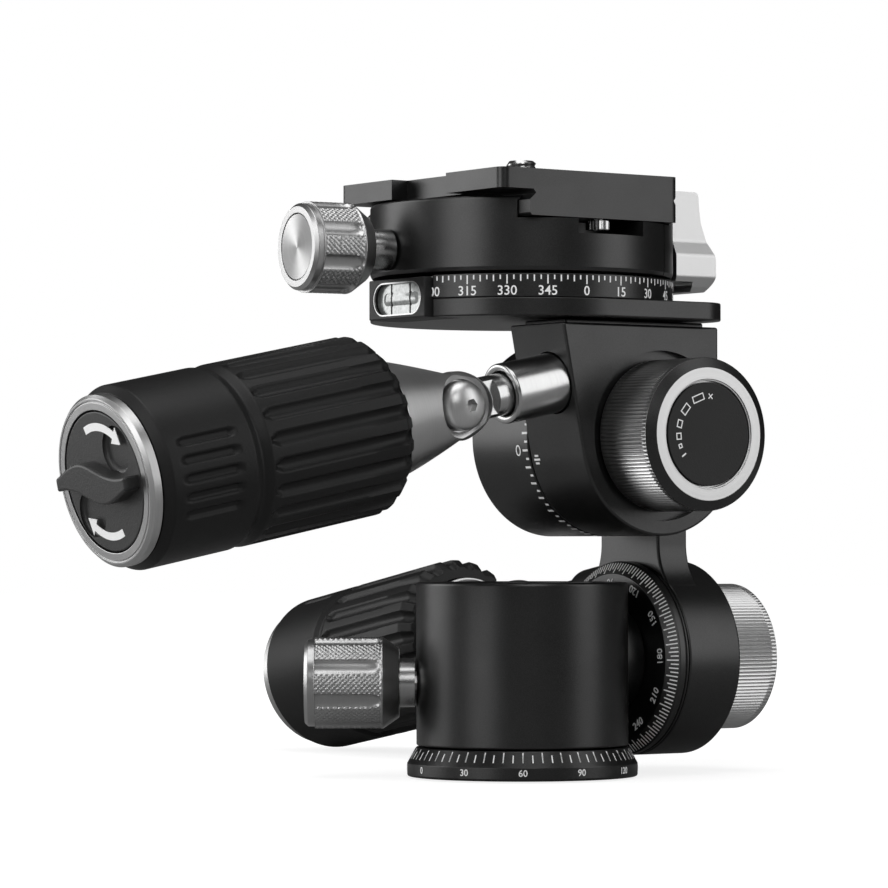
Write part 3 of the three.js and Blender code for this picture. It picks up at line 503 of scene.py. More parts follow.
def eased(points, size=EASE, steps=EASE_STEPS):
    """Rounds the corners of a profile; a point's third number is its own size."""
    closed = tuple(points[0][:2]) == tuple(points[-1][:2])
    core = points[:-1] if closed else points
    made = []
    for index, point in enumerate(core):
        here = np.array(point[:2], float)
        if not closed and index in (0, len(core) - 1):
            made.append(tuple(here))
            continue
        before = np.array(core[index - 1][:2], float) - here
        after = np.array(core[(index + 1) % len(core)][:2], float) - here
        reach, onward = np.linalg.norm(before), np.linalg.norm(after)
        before, after = before / reach, after / onward
        bend = math.pi - math.acos(max(-1.0, min(1.0, float(before @ after))))
        want = point[2] if len(point) > 2 else size
        if bend < 0.05 or want == 0 or here[0] < 0.001:
            made.append(tuple(here))
            continue
        cut = min(want * math.tan(bend / 2), 0.4 * reach, 0.4 * onward)
        first, last = here + before * cut, here + after * cut
        made.append(tuple(first + before * min(HOLD, 0.2 * reach)))
        for step in range(steps + 1):
            share = step / steps
            made.append(tuple((1 - share) ** 2 * first + 2 * share * (1 - share) * here + share**2 * last))
        made.append(tuple(last + after * min(HOLD, 0.2 * onward)))
    return [*made, made[0]] if closed else made


def turned(profile, sides=SIDES, span=TURN, radius_of=None):
    """A profile of (radius, height) turned about Z; radius_of moves the surface."""
    profile = np.array([point[:2] for point in profile], float)
    angle = np.linspace(0.0, span, sides + 1)
    radius = np.repeat(profile[:, :1], sides + 1, axis=1)
    height = np.repeat(profile[:, 1:], sides + 1, axis=1)
    if radius_of is not None:
        radius = radius_of(radius, height, angle[None, :])
    points = np.stack([radius * np.cos(angle), radius * np.sin(angle), height], axis=-1).reshape(-1, 3)
    width = sides + 1
    row, column = np.meshgrid(np.arange(len(profile) - 1), np.arange(sides), indexing="ij")
    solid = (profile[:-1, 0] > 1e-6) | (profile[1:, 0] > 1e-6)
    corner = (row * width + column)[solid].ravel()
    faces = np.stack([corner, corner + 1, corner + width + 1, corner + width], axis=-1)
    return mesh_of(points.tolist(), faces.tolist())


def lathe(points, ease=EASE, sides=SIDES):
    """A profile turned about Z with its corners rounded."""
    return turned(eased(points, ease), sides)


def rod(radius, low, high, sides=SMALL_SIDES, ease=0.0):
    """A round bar along Z."""
    profile = [(0, low), (radius, low), (radius, high), (0, high)]
    return turned(eased(profile, ease) if ease else profile, sides)


def ring(inner, outer, low, high, sides, ease):
    """A tube along Z."""
    return lathe([(inner, low), (outer, low), (outer, high), (inner, high), (inner, low)], ease, sides)


def arc(centre, radius, start, end, steps):
    """Points of an arc in a plane, from one angle to another in degrees."""
    angles = np.radians(np.linspace(start, end, steps + 1))
    return [(centre[0] + radius * math.cos(a), centre[1] + radius * math.sin(a)) for a in angles]


def extruded(outline, low, high):
    """A prism of a plane outline along Z."""
    count = len(outline)
    points = [(x, y, z) for z in (low, high) for x, y in outline]
    sides = [(i, (i + 1) % count, (i + 1) % count + count, i + count) for i in range(count)]
    return mesh_of(points, [tuple(range(count)), tuple(range(count, 2 * count)), *sides])


def block(low, high):
    """A square-cornered block between two opposite corners."""
    (x0, y0, z0), (x1, y1, z1) = low, high
    return extruded([(x0, y0), (x1, y0), (x1, y1), (x0, y1)], z0, z1)


def moved(mesh, matrix):
    """The mesh itself, moved by a matrix."""
    mesh.transform(matrix)
    return mesh


def shifted(mesh, *place):
    """The mesh moved by x, y and z."""
    return moved(mesh, Matrix.Translation(place))


def joined(*meshes):
    """Several meshes as one, without joining their surfaces."""
    edit = bmesh.new()
    for mesh in meshes:
        edit.from_mesh(mesh)
    whole = meshes[0]
    edit.to_mesh(whole)
    edit.free()
    return whole


def evaluated(shape, add_modifiers=None):
    """A plain mesh of a curve, or of what the modifiers make of a mesh."""
    holder = bpy.data.objects.new("temporary", shape)
    bpy.context.scene.collection.objects.link(holder)
    if add_modifiers:
        add_modifiers(holder)
    graph = bpy.context.evaluated_depsgraph_get()
    made = bpy.data.meshes.new_from_object(holder.evaluated_get(graph), depsgraph=graph)
    bpy.data.objects.remove(holder)
    return made


def combined(mesh, tools, operation="DIFFERENCE"):
    """The solid left after each tool is cut from it, joined to it or kept in common."""
    holders = [bpy.data.objects.new("tool", tool) for tool in tools]
    for holder in holders:
        bpy.context.scene.collection.objects.link(holder)

    def add_modifiers(host):
        for holder in holders:
            modifier = host.modifiers.new("Combine", "BOOLEAN")
            modifier.operation = operation
            modifier.solver = "MANIFOLD"
            modifier.object = holder

    made = evaluated(mesh, add_modifiers)
    for holder in holders:
        bpy.data.objects.remove(holder)
    if not made.polygons:
        raise RuntimeError("nothing is left of a combined solid")
    return made


def bevelled(mesh, width, segments=3, angle=28):
    """The mesh with its edges rounded."""

    def add_modifiers(host):
        modifier = host.modifiers.new("Bevel", "BEVEL")
        modifier.width = width
        modifier.segments = segments
        modifier.limit_method = "ANGLE"
        modifier.angle_limit = math.radians(angle)
        modifier.miter_outer = "MITER_ARC"
        modifier.use_clamp_overlap = True

    return evaluated(mesh, add_modifiers)


# Repeats. One node tree makes every ring of like forms.

REPEAT = {}


def repeat_tree():
    """Copies of a form about Z: Count of them, Step apart, from Start on."""
    tree = bpy.data.node_groups.new("Repeat about axis", "GeometryNodeTree")
    face = tree.interface
    face.new_socket("Form", in_out="INPUT", socket_type="NodeSocketGeometry")
    for name, kind in (
        ("Count", "NodeSocketInt"),
        ("Step", "NodeSocketFloat"),
        ("Start", "NodeSocketFloat"),
        ("Leave Out", "NodeSocketInt"),
    ):
        REPEAT[name] = face.new_socket(name, in_out="INPUT", socket_type=kind).identifier
    face.new_socket("Form", in_out="OUTPUT", socket_type="NodeSocketGeometry")
    graph = Graph(tree)
    source = graph.node("NodeGroupInput")
    index = graph.out(graph.node("GeometryNodeInputIndex"))
    line = graph.node("GeometryNodeMeshLine", Count=graph.out(source, "Count"), Offset=(0, 0, 0))
    turn = graph.out(source, "Start") + index * graph.out(source, "Step")
    rotation = graph.node("ShaderNodeCombineXYZ", Z=turn)
    every = graph.out(source, "Leave Out")
    place = graph.math("FLOORED_MODULO", index, graph.math("MAXIMUM", every, 1.0))
    kept = graph.math("MAXIMUM", graph.math("LESS_THAN", every, 0.5), graph.math("GREATER_THAN", place, 0.5))
    copies = graph.node(
        "GeometryNodeInstanceOnPoints",
        Points=graph.out(line),
        Selection=kept,
        Instance=graph.out(source, "Form"),
        Rotation=graph.out(rotation),
    )
    real = graph.node("GeometryNodeRealizeInstances", Geometry=graph.out(copies))
    output = graph.node("NodeGroupOutput")
    tree.links.new(real.outputs[0], output.inputs[0])
    return tree


def repeated(mesh, count, step=None, start=0.0, leave_out=0):
    """The form repeated about Z by the node tree, as a plain mesh."""
    if "tree" not in REPEAT:
        REPEAT["tree"] = repeat_tree()
    values = {
        "Count": count,
        "Step": math.radians(360 / count if step is None else step),
        "Start": math.radians(start),
        "Leave Out": leave_out,
    }

    def add_modifiers(host):
        modifier = host.modifiers.new("Repeat", "NODES")
        modifier.node_group = REPEAT["tree"]
        for name, value in values.items():
            modifier[REPEAT[name]] = value

    return tidied(evaluated(mesh, add_modifiers))


# Pieces


def places(items, name):
    """The x, y and z of every vertex or face."""
    held = np.zeros(len(items) * 3, np.float32)
    items.foreach_get(name, held)
    return held.reshape(-1, 3).T


def material_indices(mesh):
    held = np.zeros(len(mesh.polygons), np.int32)
    mesh.polygons.foreach_get("material_index", held)
    return held


def painted(mesh, test, index):
    """Gives a material index to the faces whose (radius, height) pass the test."""
    x, y, z = places(mesh.polygons, "center")
    held = material_indices(mesh)
    held[test(np.hypot(x, y), z)] = index
    mesh.polygons.foreach_set("material_index", held)


def note_turning(mesh):
    """Keeps each point's radius, height and angle for the turned finishes."""
    x, y, z = places(mesh.vertices, "co")
    layer = mesh.attributes.new("turned", "FLOAT_VECTOR", "POINT")
    layer.data.foreach_set("vector", np.stack([np.hypot(x, y), z, np.arctan2(y, x)], axis=-1).ravel())


def mark_borders(mesh):
    """Marks the edge between a broad flat and a narrow face, so that the flat shades flat."""
    edit = bmesh.new()
    edit.from_mesh(mesh)
    edit.faces.index_update()
    flats = [0.0] * len(edit.faces)
    seen = set()
    for start in edit.faces:
        if start.index in seen:
            continue
        flat, waiting = [], [start]
        seen.add(start.index)
        while waiting:
            face = waiting.pop()
            flat.append(face)
            for edge in face.edges:
                if len(edge.link_faces) == 2 and edge.calc_face_angle(1) < FLAT_ANGLE:
                    for other in edge.link_faces:
                        if other.index not in seen:
                            seen.add(other.index)
                            waiting.append(other)
        area = sum(face.calc_area() for face in flat)
        for face in flat:
            flats[face.index] = area
    for edge in edit.edges:
        if edge.smooth and len(edge.link_faces) == 2 and edge.calc_face_angle(0) > BORDER_ANGLE:
            areas = [flats[face.index] for face in edge.link_faces]
            edge.smooth = max(areas) < BROAD * min(areas)
    edit.to_mesh(mesh)
    edit.free()


def piece(name, mesh, matrix, body, finishes, stands_for=None, sharp=SHARP_ANGLE):
    """Puts a mesh in its place in the frame, with its finishes, on its body."""
    note_turning(mesh)
    mesh.transform(Matrix.Scale(MILLIMETRE, 4) @ matrix)
    mesh.name = name
    held = material_indices(mesh)
    mesh.materials.clear()
    for finish in (finishes,) if isinstance(finishes, str) else finishes:
        mesh.materials.append(MATERIALS[finish])
    mesh.polygons.foreach_set("material_index", held)
    mesh.shade_smooth()
    mesh.set_sharp_from_angle(angle=math.radians(sharp))
    mark_borders(mesh)
    made = bpy.data.objects.new(name, mesh)
    bpy.context.scene.collection.objects.link(made)
    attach(made, body)
    if stands_for:
        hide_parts(stands_for)


def black_piece(name, mesh, matrix, body, stands_for):
    """A piece in black anodised metal that stands for one node."""
    piece(name, mesh, matrix, body, "black", stands_for)


def black_print(name, mesh, matrix, body):
    """White print on black anodised metal."""
    piece(name, mesh, matrix, body, "ink")


# Print. Marks and numbers are thin solids that stand just proud of a surface.


def wrapped(mesh, move):
    """Moves each point of a mesh by a function of its three coordinates."""
    points = move(*places(mesh.vertices, "co"))
    mesh.vertices.foreach_set("co", np.stack(points, axis=-1).astype(np.float32).ravel())
    return mesh


def figure(text, size):
    """A number as a thin solid: X along the line, Y up, centred on Z."""
    curve = bpy.data.curves.new("figure", "FONT")
    curve.body = text
    curve.size = size
    curve.align_x = "CENTER"
    curve.align_y = "CENTER"
    curve.extrude = 0.09
    curve.offset = 0.02
    curve.resolution_u = 3
    return tidied(evaluated(curve))


def figures_on_wall(values, radius, height, size, start):
    """Numbers of degrees round a wall, from start on, that read from outside, upright."""
    made = []
    for value in values:
        angle = math.radians(start + value)

        def move(x, y, z, angle=angle):
            out = radius + z * 0.6
            where = angle + x / radius
            return out * np.cos(where), out * np.sin(where), height + y

        made.append(wrapped(figure(str(value), size), move))
    return joined(*made)


def figures_on_disc(values, radius, height, size, lag):
    """Numbers of degrees round a face that looks along -Z, their tops to the centre."""
    made = []
    for value in values:
        angle = math.radians(value - lag)
        mesh = moved(figure(str(value), size), Matrix.Rotation(math.pi, 4, "Y"))
        place = Matrix.Translation((radius * math.cos(angle), radius * math.sin(angle), height))
        made.append(moved(mesh, place @ Matrix.Rotation(angle + math.pi / 2, 4, "Z")))
    return joined(*made)


def marks_on_wall(radius, low, high, width, count, step, start, leave_out=0, slope=0.0):
    """Marks along Z round a wall; slope is how far it leans in for each step up."""
    mark = block((-PRINT_SINK, -width / 2, low), (PRINT_PROUD, width / 2, high))
    mark = wrapped(mark, lambda x, y, z: (radius + x - (z - low) * slope, y, z))
    return repeated(mark, count, step, start, leave_out)


# Base and its scales


def length_setting(name, value):
    return FloatProperty(name=name, description=f"{name}, in millimetres", default=value, min=0.01)


def step_setting(name, value):
    return FloatProperty(name=name, description=f"{name}, in degrees", default=value, min=1)


def count_setting(name, value, least=3):
    return IntProperty(name=name, description=f"Number of {name.lower()}", default=value, min=least)


class BaseSettings(bpy.types.PropertyGroup):
    """Scales of the base, the lower disc and the panning ring."""

    mark_width: length_setting("Mark width", 0.3)
    flange_step: step_setting("Step of the base's marks", 5)
    disc_step: step_setting("Step of the disc's marks", 2.5)
    ring_step: step_setting("Step of the ring's marks", 2.5)
    figure_size: length_setting("Height of the base's figures", 1.9)
    ring_figure_size: length_setting("Height of the ring's figures", 2.7)


def base_flange():
    """The flange, the grooved spindle on it and the thin end that takes the nut."""
    groove, groove_half, groove_depth = BASE_LOCK_HEIGHT, 3.2, 1.0
    return lathe([
        (INSERT_RADIUS, 0), (FLANGE_RADIUS, 0, 0.5), (FLANGE_RADIUS, FLANGE_RIM, 0.25),
        (HOUSING_RADIUS, FLANGE_HEIGHT), (SPINDLE_RADIUS, FLANGE_HEIGHT),
        (SPINDLE_RADIUS, groove - groove_half), (SPINDLE_RADIUS - groove_depth, groove),
        (SPINDLE_RADIUS, groove + groove_half), (SPINDLE_RADIUS, SPINDLE_TOP),
        (SPINDLE_END_RADIUS, SPINDLE_TOP), (SPINDLE_END_RADIUS, SPINDLE_END), (0, SPINDLE_END),
        (0, INSERT_TOP), (INSERT_RADIUS, INSERT_TOP), (INSERT_RADIUS, 0),
    ])


def base_scale(settings):
    """Marks round the flange's slope, longer at every second one, and figures under them."""
    slope = (FLANGE_RADIUS - HOUSING_RADIUS) / (FLANGE_HEIGHT - FLANGE_RIM)
    low, short_top, long_top, height = 3.7, 5.2, 5.7, 1.6
    wall = FLANGE_RADIUS - (low - FLANGE_RIM) * slope
    count = round(360 / settings.flange_step)
    width = settings.mark_width * 0.8
    return joined(
        marks_on_wall(wall, low, short_top, width, count, None, BASE_SCALE_START, slope=slope),
        marks_on_wall(wall, low, long_top, width, count // 2, None, BASE_SCALE_START, slope=slope),
        figures_on_wall(range(0, 360, 30), FLANGE_RADIUS, height, settings.figure_size, BASE_SCALE_START),
    )


def base_housing():
    """A hollow drum with a hub for the lower tilt and a hole for the knob's stud."""
    bore, room, room_floor = SPINDLE_RADIUS + GAP, 12.9, 36.8
    shell = lathe([
        (bore, FLANGE_HEIGHT + GAP), (HOUSING_RADIUS, FLANGE_HEIGHT + GAP, 0.4),
        (HOUSING_RADIUS, HOUSING_TOP, 0.7), (COVER_RADIUS + GAP, HOUSING_TOP),
        (COVER_RADIUS + GAP, room_floor), (room, room_floor), (room, SPINDLE_TOP), (bore, SPINDLE_TOP),
        (bore, FLANGE_HEIGHT + GAP),
    ])
    hub = moved(rod(HUB_RADIUS, -12, DISC_FACE - GAP, SIDES, EASE), LOWER)
    axle_hole = moved(rod(AXLE_RADIUS + GAP, -20, OVERRUN), LOWER)
    stud_hole = moved(rod(STUD_HOLE_RADIUS, -13, OVERRUN), BASE_KNOB)
    return combined(combined(shell, [hub], "UNION"), [axle_hole, stud_hole])


def base_cover():
    """A flat lid that is dished inside its rim."""
    low, high, dish_radius, dish_depth = 37.2, 39.4, 14.5, 0.3
    return lathe([
        (0, low), (COVER_RADIUS, low), (COVER_RADIUS, high), (dish_radius, high),
        (dish_radius - dish_depth, high - dish_depth), (0, high - dish_depth),
    ])


class HEAD_OT_base(bpy.types.Operator):
    """Build the base: flange with its scale, housing with its hub, and top cover"""

    bl_idname = "head.base"
    bl_label = "Base"

    def execute(self, context):
        scale = base_scale(context.scene.head_base)
        black_piece("base_flange_body", base_flange(), UPRIGHT, "tripod_base", "base_flange")
        black_print("base_scale_print", scale, UPRIGHT, "tripod_base")
        black_piece("base_housing_body", base_housing(), UPRIGHT, "pan_base", "base_housing")
        black_piece("base_cover_body", base_cover(), UPRIGHT, "pan_base", "base_top_cover")
        return {"FINISHED"}


def scale_disc():
    """The lower tilt's disc: a bevelled face, and a thin groove round its rim."""
    bore = AXLE_RADIUS + GAP
    groove, groove_half, groove_depth, groove_side = -0.9, 0.15, 0.35, 0.1
    return lathe([
        (bore, DISC_FACE), (DISC_FACE_RADIUS, DISC_FACE, 0.2), (DRUM_RADIUS, DISC_FACE + DISC_BEVEL, 0.2),
        (DRUM_RADIUS, groove - groove_half - groove_side),
        (DRUM_RADIUS - groove_depth, groove - groove_half),
        (DRUM_RADIUS - groove_depth, groove + groove_half),
        (DRUM_RADIUS, groove + groove_half + groove_side), (DRUM_RADIUS, -GAP), (bore, -GAP),
        (bore, DISC_FACE),
    ], 0.12)


def disc_scale(settings):
    """Marks of three lengths on the disc's bevel, and figures on its face."""
    half = settings.mark_width * 0.85 / 2
    count = round(360 / settings.disc_step)
    lean = DISC_BEVEL / (DRUM_RADIUS - DISC_FACE_RADIUS)
    outer = DRUM_RADIUS - 0.35

    def on_bevel(inner, every, leave_out=0):
        mark = block((inner, -half, -PRINT_PROUD), (outer, half, PRINT_SINK))
        mark = wrapped(mark, lambda x, y, z: (x, y, z + DISC_FACE + (x - DISC_FACE_RADIUS) * lean))
        return repeated(mark, count // every, None, 0, leave_out)

    short, middle, long = 18.6, 18.3, 17.9
    marks = joined(on_bevel(short, 1, 2), on_bevel(middle, 2, 2), on_bevel(long, 4))
    return joined(marks, figures_on_disc(range(0, 360, 30), 15.9, DISC_FACE, 2.3, 2.4))


class HEAD_OT_scale_disc(bpy.types.Operator):
    """Build the lower tilt's fixed scale disc"""

    bl_idname = "head.scale_disc"
    bl_label = "Scale disc"

    def execute(self, context):
        black_piece("lower_disc_body", scale_disc(), LOWER, "pan_base", "lower_scale_disc")
        black_print("lower_disc_print", disc_scale(context.scene.head_base), LOWER, "pan_base")
        return {"FINISHED"}


# Locking knobs


class KnobSettings(bpy.types.PropertyGroup):
    """Grip patterns of the knobs."""

    flutes: count_setting("Flutes", 8)
    flute_depth: length_setting("Depth of the flutes", 0.85)
    knurl_pitch: length_setting("Width of a knurl's diamond", 1.1)
    knurl_depth: length_setting("Depth of the knurl", 0.26)
    serrations: count_setting("Serrations", 120, 12)
    serration_depth: length_setting("Depth of the serrations", 0.32)


def step_between(value, low, high):
    """0 below low, 1 above high and a smooth rise between."""
    share = np.clip((value - low) / (high - low), 0, 1)
    return share * share * (3 - 2 * share)


def subdivided(profile, longest):
    """A profile whose edges are no longer than the given length."""
    made = [profile[0]]
    for point in profile[1:]:
        last = np.array(made[-1][:2], float)
        onward = np.array(point[:2], float) - last
        count = max(1, math.ceil(np.linalg.norm(onward) / longest))
        made.extend(tuple(last + onward * (index / count)) for index in range(1, count + 1))
    return made


def lock_knob(settings, radius, length, stem_radius, stem):
    """The knob's sleeve-like body: fluted and knurled between its plain ends."""
    end = stem + length
    low, high = stem + KNOB_TAPER_LENGTH + 0.2, end - 2.1
    collar, chamfer = radius - 0.45, 0.7
    mouth, floor = KNOB_END_RADIUS + GAP / 2, end - 0.9
    outside = eased([
        (stem_radius, GAP), (stem_radius, stem, 0.15), (radius - KNOB_TAPER, stem, 0.4),
        (radius, stem + KNOB_TAPER_LENGTH, 0.4), (radius, high, 0.1), (collar, high, 0.1),
        (collar, end - chamfer, 0.2), (collar - 0.65, end, 0.15), (mouth, end), (mouth, floor),
    ], 0.15)
    wall = [point for point in outside if point[0] > radius - 0.01]
    first = outside.index(wall[0])
    fine = 0.2
    sector = TURN / settings.flutes
    rows = round(TURN * radius / settings.knurl_pitch / settings.flutes)

    def radius_of(r, z, angle):
        on_wall = (r > radius - 0.02) * 1.0
        across = np.abs((angle / sector) % 1.0 - 0.5) * 2
        share = np.clip((z - low) / (high - low), 0, 1)
        rounding = np.sqrt(np.clip(1 - (1 - share) ** 12, 0, 1))
        half = 0.46 * rounding
        bowl = np.clip(1 - (across / np.maximum(half, 0.02)) ** 2, 0, 1) * (half > 0.05)
        flute = settings.flute_depth * np.sqrt(bowl) * rounding
        land = (1 - step_between(bowl, 0.0, 0.06)) * step_between(z, low, low + 0.3)
        turn = angle / sector * rows
        along = z / settings.knurl_pitch
        ridges = [np.abs((way % 1.0) - 0.5) * 2 for way in (turn + along, turn - along)]
        return r - on_wall * (flute + land * settings.knurl_depth * np.maximum(*ridges) ** 2)

    columns = round(TURN * radius / settings.flutes / fine)
    profile = [*outside[:first], *subdivided(wall, fine), *outside[first + len(wall):]]
    shell = repeated(turned(profile, columns, sector, radius_of), settings.flutes)
    hole_end = stem + 10
    inside = [(mouth, floor), (0, floor), (0, hole_end), (STUD_HOLE_RADIUS, hole_end)]
    inside += [(STUD_HOLE_RADIUS, GAP), (stem_radius, GAP)]
    return tidied(joined(shell, turned(inside, columns * settings.flutes)))


def knob_cap(end):
    """The knob's end cap, slightly dished."""
    seat, rim, dish = end - 0.6, end - 0.12, end - 0.2
    rim_points = [(0, seat), (KNOB_END_RADIUS, seat), (KNOB_END_RADIUS, rim)]
    return lathe([*rim_points, (0.5, dish), (0, dish - 0.02)], 0.06)


class HEAD_OT_locks(bpy.types.Operator):
    """Build the two locking knobs"""

    bl_idname = "head.locks"
    bl_label = "Locking knobs"

    def execute(self, context):
        for prefix, matrix, radius, length, stem_radius, stem in (
            ("base", BASE_KNOB, 9.4, 19.4, 5.0, 3.5),
            ("pan", PAN_KNOB, 9.2, 14.6, 4.2, 6.4),
        ):
            body = f"{prefix}_lock"
            knob = lock_knob(context.scene.head_knobs, radius, length, stem_radius, stem)
            painted(knob, lambda r, z: (r < stem_radius + 0.3) & (z < stem), 1)
            finishes = ("silver", "steel")
            piece(f"{body}_body", knob, matrix, body, finishes, f"{body}_knob", 40)
            # The end cap's finish has a painted highlight in its base colour
            cap = knob_cap(stem + length)
            piece(f"{body}_end", cap, matrix, body, "spun", f"{body}_cap")
        return {"FINISHED"}


# Friction knobs


def friction_knob(settings, start, end):
    """A hollow knob with a serrated wall, a bevel, a flat ring and a disc seat."""
    wall_end = end - 1.0
    foot_radius = FRICTION_RADIUS - 0.6
    sector = TURN / settings.serrations
    columns = 6
    outside = eased([
        (FRICTION_HOLLOW_RADIUS, start), (foot_radius, start), (foot_radius, start + 0.6),
        (FRICTION_RADIUS, start + 0.9), (FRICTION_RADIUS, wall_end),
        (FRICTION_RADIUS - FRICTION_BEVEL, end, 0.15), (DISC_SEAT_RADIUS + 0.3, end),
        (DISC_SEAT_RADIUS + 0.3, end - 0.25), (DISC_SEAT_RADIUS, end - 0.25),
        (DISC_SEAT_RADIUS, end - DISC_SEAT_DEPTH),
    ], 0.15)

    def radius_of(r, z, angle):
        on_wall = (r > FRICTION_RADIUS - 0.05) * 1.0
        place = np.abs((angle / sector) % 1.0 - 0.5) * 2
        rise = step_between(z, start + 1.0, start + 1.5)
        fade = rise * (1 - step_between(z, wall_end - 0.4, wall_end - 0.1))
        return r - on_wall * fade * settings.serration_depth * place**1.5

    shell = repeated(turned(subdivided(outside, 1.2), columns, sector, radius_of), settings.serrations)
    bore, bore_end, hollow_end = AXLE_RADIUS + GAP, start + 9.3, start + 3.3
    inside = turned([
        (DISC_SEAT_RADIUS, end - DISC_SEAT_DEPTH), (0, end - DISC_SEAT_DEPTH), (0, bore_end),
        (bore, bore_end), (bore, hollow_end), (FRICTION_HOLLOW_RADIUS, hollow_end),
        (FRICTION_HOLLOW_RADIUS, start),
    ], columns * settings.serrations)
    return tidied(joined(shell, inside))


def friction_marks(height):
    """A row of marks on an arc: a bar, a square, growing boxes and a cross."""
    radius, line, stroke = 7.6, 0.22, 0.11

    def flat(x0, y0, x1, y1):
        return block((x0, y0, height - 0.1), (x1, y1, height + PRINT_PROUD))

    def box(width, tall):
        half, top = width / 2, tall / 2
        return [
            flat(-half, -top, half, -top + line),
            flat(-half, top - line, half, top),
            flat(-half, -top + line, -half + line, top - line),
            flat(half - line, -top + line, half, top - line),
        ]

    reach = 0.7
    arms = [
        flat(-stroke, -reach, stroke, reach),
        flat(-reach, -stroke, -stroke, stroke),
        flat(stroke, -stroke, reach, stroke),
    ]
    row = [
        (214, [flat(-0.15, -0.6, 0.15, 0.6)]), (199, box(0.95, 0.9)), (184, box(1.4, 1.3)),
        (165, box(1.65, 1.3)), (140, box(2.3, 1.5)), (110, box(3.0, 1.5)),
        (86, [moved(arm, Matrix.Rotation(math.pi / 4, 4, "Z")) for arm in arms]),
    ]
    made = []
    for angle, shapes in row:
        place = Matrix.Rotation(math.radians(angle - 90), 4, "Z") @ Matrix.Translation((0, radius, 0))
        made.extend(moved(shape, place) for shape in shapes)
    return joined(*made)


class HEAD_OT_friction(bpy.types.Operator):
    """Build the two friction knobs"""

    bl_idname = "head.friction"
    bl_label = "Friction knobs"

    def execute(self, context):
        for prefix, matrix, depth, recess, side, bevel in (
            ("lower", LOWER, LOWER_DEPTH, 0, "pale_knurl", "silver"),
            ("upper", UPPER, UPPER_DEPTH, RECESS_DEPTH, "knurled", "black"),
        ):
            body = f"{prefix}_friction"
            end = depth + GAP + FRICTION_LENGTH
            knob = friction_knob(context.scene.head_knobs, depth + GAP - recess, end)
            ring_radius = FRICTION_RADIUS - FRICTION_BEVEL + 0.05
            painted(knob, lambda r, z: (z > end - 1.05) & (r > ring_radius), 1)
            painted(knob, lambda r, z: (z > end - DISC_SEAT_DEPTH - 0.1) & (r <= ring_radius), 2)
            finishes = (side, bevel, "silver")
            piece(f"{body}_body", knob, matrix, body, finishes, f"{body}_knob", 40)
            face = end - 0.15
            cap = rod(DISC_SEAT_RADIUS - GAP, end - 0.9, face, SIDES, 0.15)
            piece(f"{body}_disc", cap, matrix, body, "disc", f"{body}_cap")
            piece(f"{body}_print", friction_marks(face), matrix, body, "ink")
        return {"FINISHED"}


# Arm and housings


def drive_rooms(worm, plane, depth):
    """Room for a unit's wheel, axle, worm and sleeve."""
    wheel_room, wheel_half, worm_room, worm_start = 11.5, 2.9, 4.1, -9.8
    return [
        rod(wheel_room, -OVERRUN, plane + wheel_half),
        rod(AXLE_RADIUS + GAP, -OVERRUN, depth + OVERRUN),
        moved(rod(worm_room, worm_start, SLEEVE_START), worm),
        moved(rod(SLEEVE_RADIUS + GAP, SLEEVE_START - GAP, SLEEVE_END), worm),
    ]


def riser():
    """The plate between the drums: flared below, and bent over into the upper drum."""
    half = ARM_WIDTH / 2
    centre_x = half + ARM_FILLET
    centre_y = math.sqrt((DRUM_RADIUS + ARM_FILLET) ** 2 - centre_x**2)
    meet = math.degrees(math.atan2(centre_y, centre_x))
    top = UPPER_AXIS_HEIGHT - LOWER_AXIS_HEIGHT + DRUM_RADIUS
    right = arc((centre_x, centre_y), ARM_FILLET, 180 + meet, 180, 20)
    left = arc((-centre_x, centre_y), ARM_FILLET, 0, -meet, 20)
    front = extruded([(0, 0), *right, (half, top), (-half, top), *left], 0, ARM_THICKNESS)
    front = moved(bevelled(front, 0.5, 3, 25), LOWER)
    inner, outer = LOWER_START - 2, LOWER_START + ARM_THICKNESS
    blend = math.radians(25)
    meet_x = UPPER_AXIS_X + DRUM_RADIUS * math.cos(blend)
    meet_z = UPPER_AXIS_HEIGHT + DRUM_RADIUS * math.sin(blend)
    bend = UPPER_AXIS_HEIGHT + (DRUM_RADIUS - (outer - UPPER_AXIS_X) * math.cos(blend)) / math.sin(blend)
    side = [(inner, 0), (outer, 0), (outer, bend, 9), (meet_x, meet_z), (inner, UPPER_AXIS_HEIGHT)]
    side = extruded(eased([*side, side[0]], 0, 8)[:-1], -DRUM_RADIUS - OVERRUN, DRUM_RADIUS + OVERRUN)
    return combined(front, [moved(side, STANDING)], "INTERSECT")


def tilt_arm():
    """Two drums at right angles, joined by the riser, with the lower worm's boss."""
    back = -GAP - ARM_WIDTH
    lower = moved(rod(DRUM_RADIUS, 0, LOWER_DEPTH, SIDES, DRUM_EASE), LOWER)
    upper = moved(rod(DRUM_RADIUS, back, -GAP, SIDES, DRUM_EASE), UPPER)
    boss = moved(moved(rod(BOSS_RADIUS, 12.6, DRUM_RADIUS, SMALL_SIDES, EASE), LOWER_WORM), LOWER)
    rooms = [moved(room, LOWER) for room in drive_rooms(LOWER_WORM, LOWER_WORM_PLANE, LOWER_DEPTH)]
    recess = moved(rod(LID_RADIUS + GAP, back - OVERRUN, back + 10.4, SIDES), UPPER)
    hole = moved(rod(AXLE_RADIUS + GAP, back, OVERRUN), UPPER)
    return combined(combined(lower, [boss, riser(), upper], "UNION"), [*rooms, recess, hole])


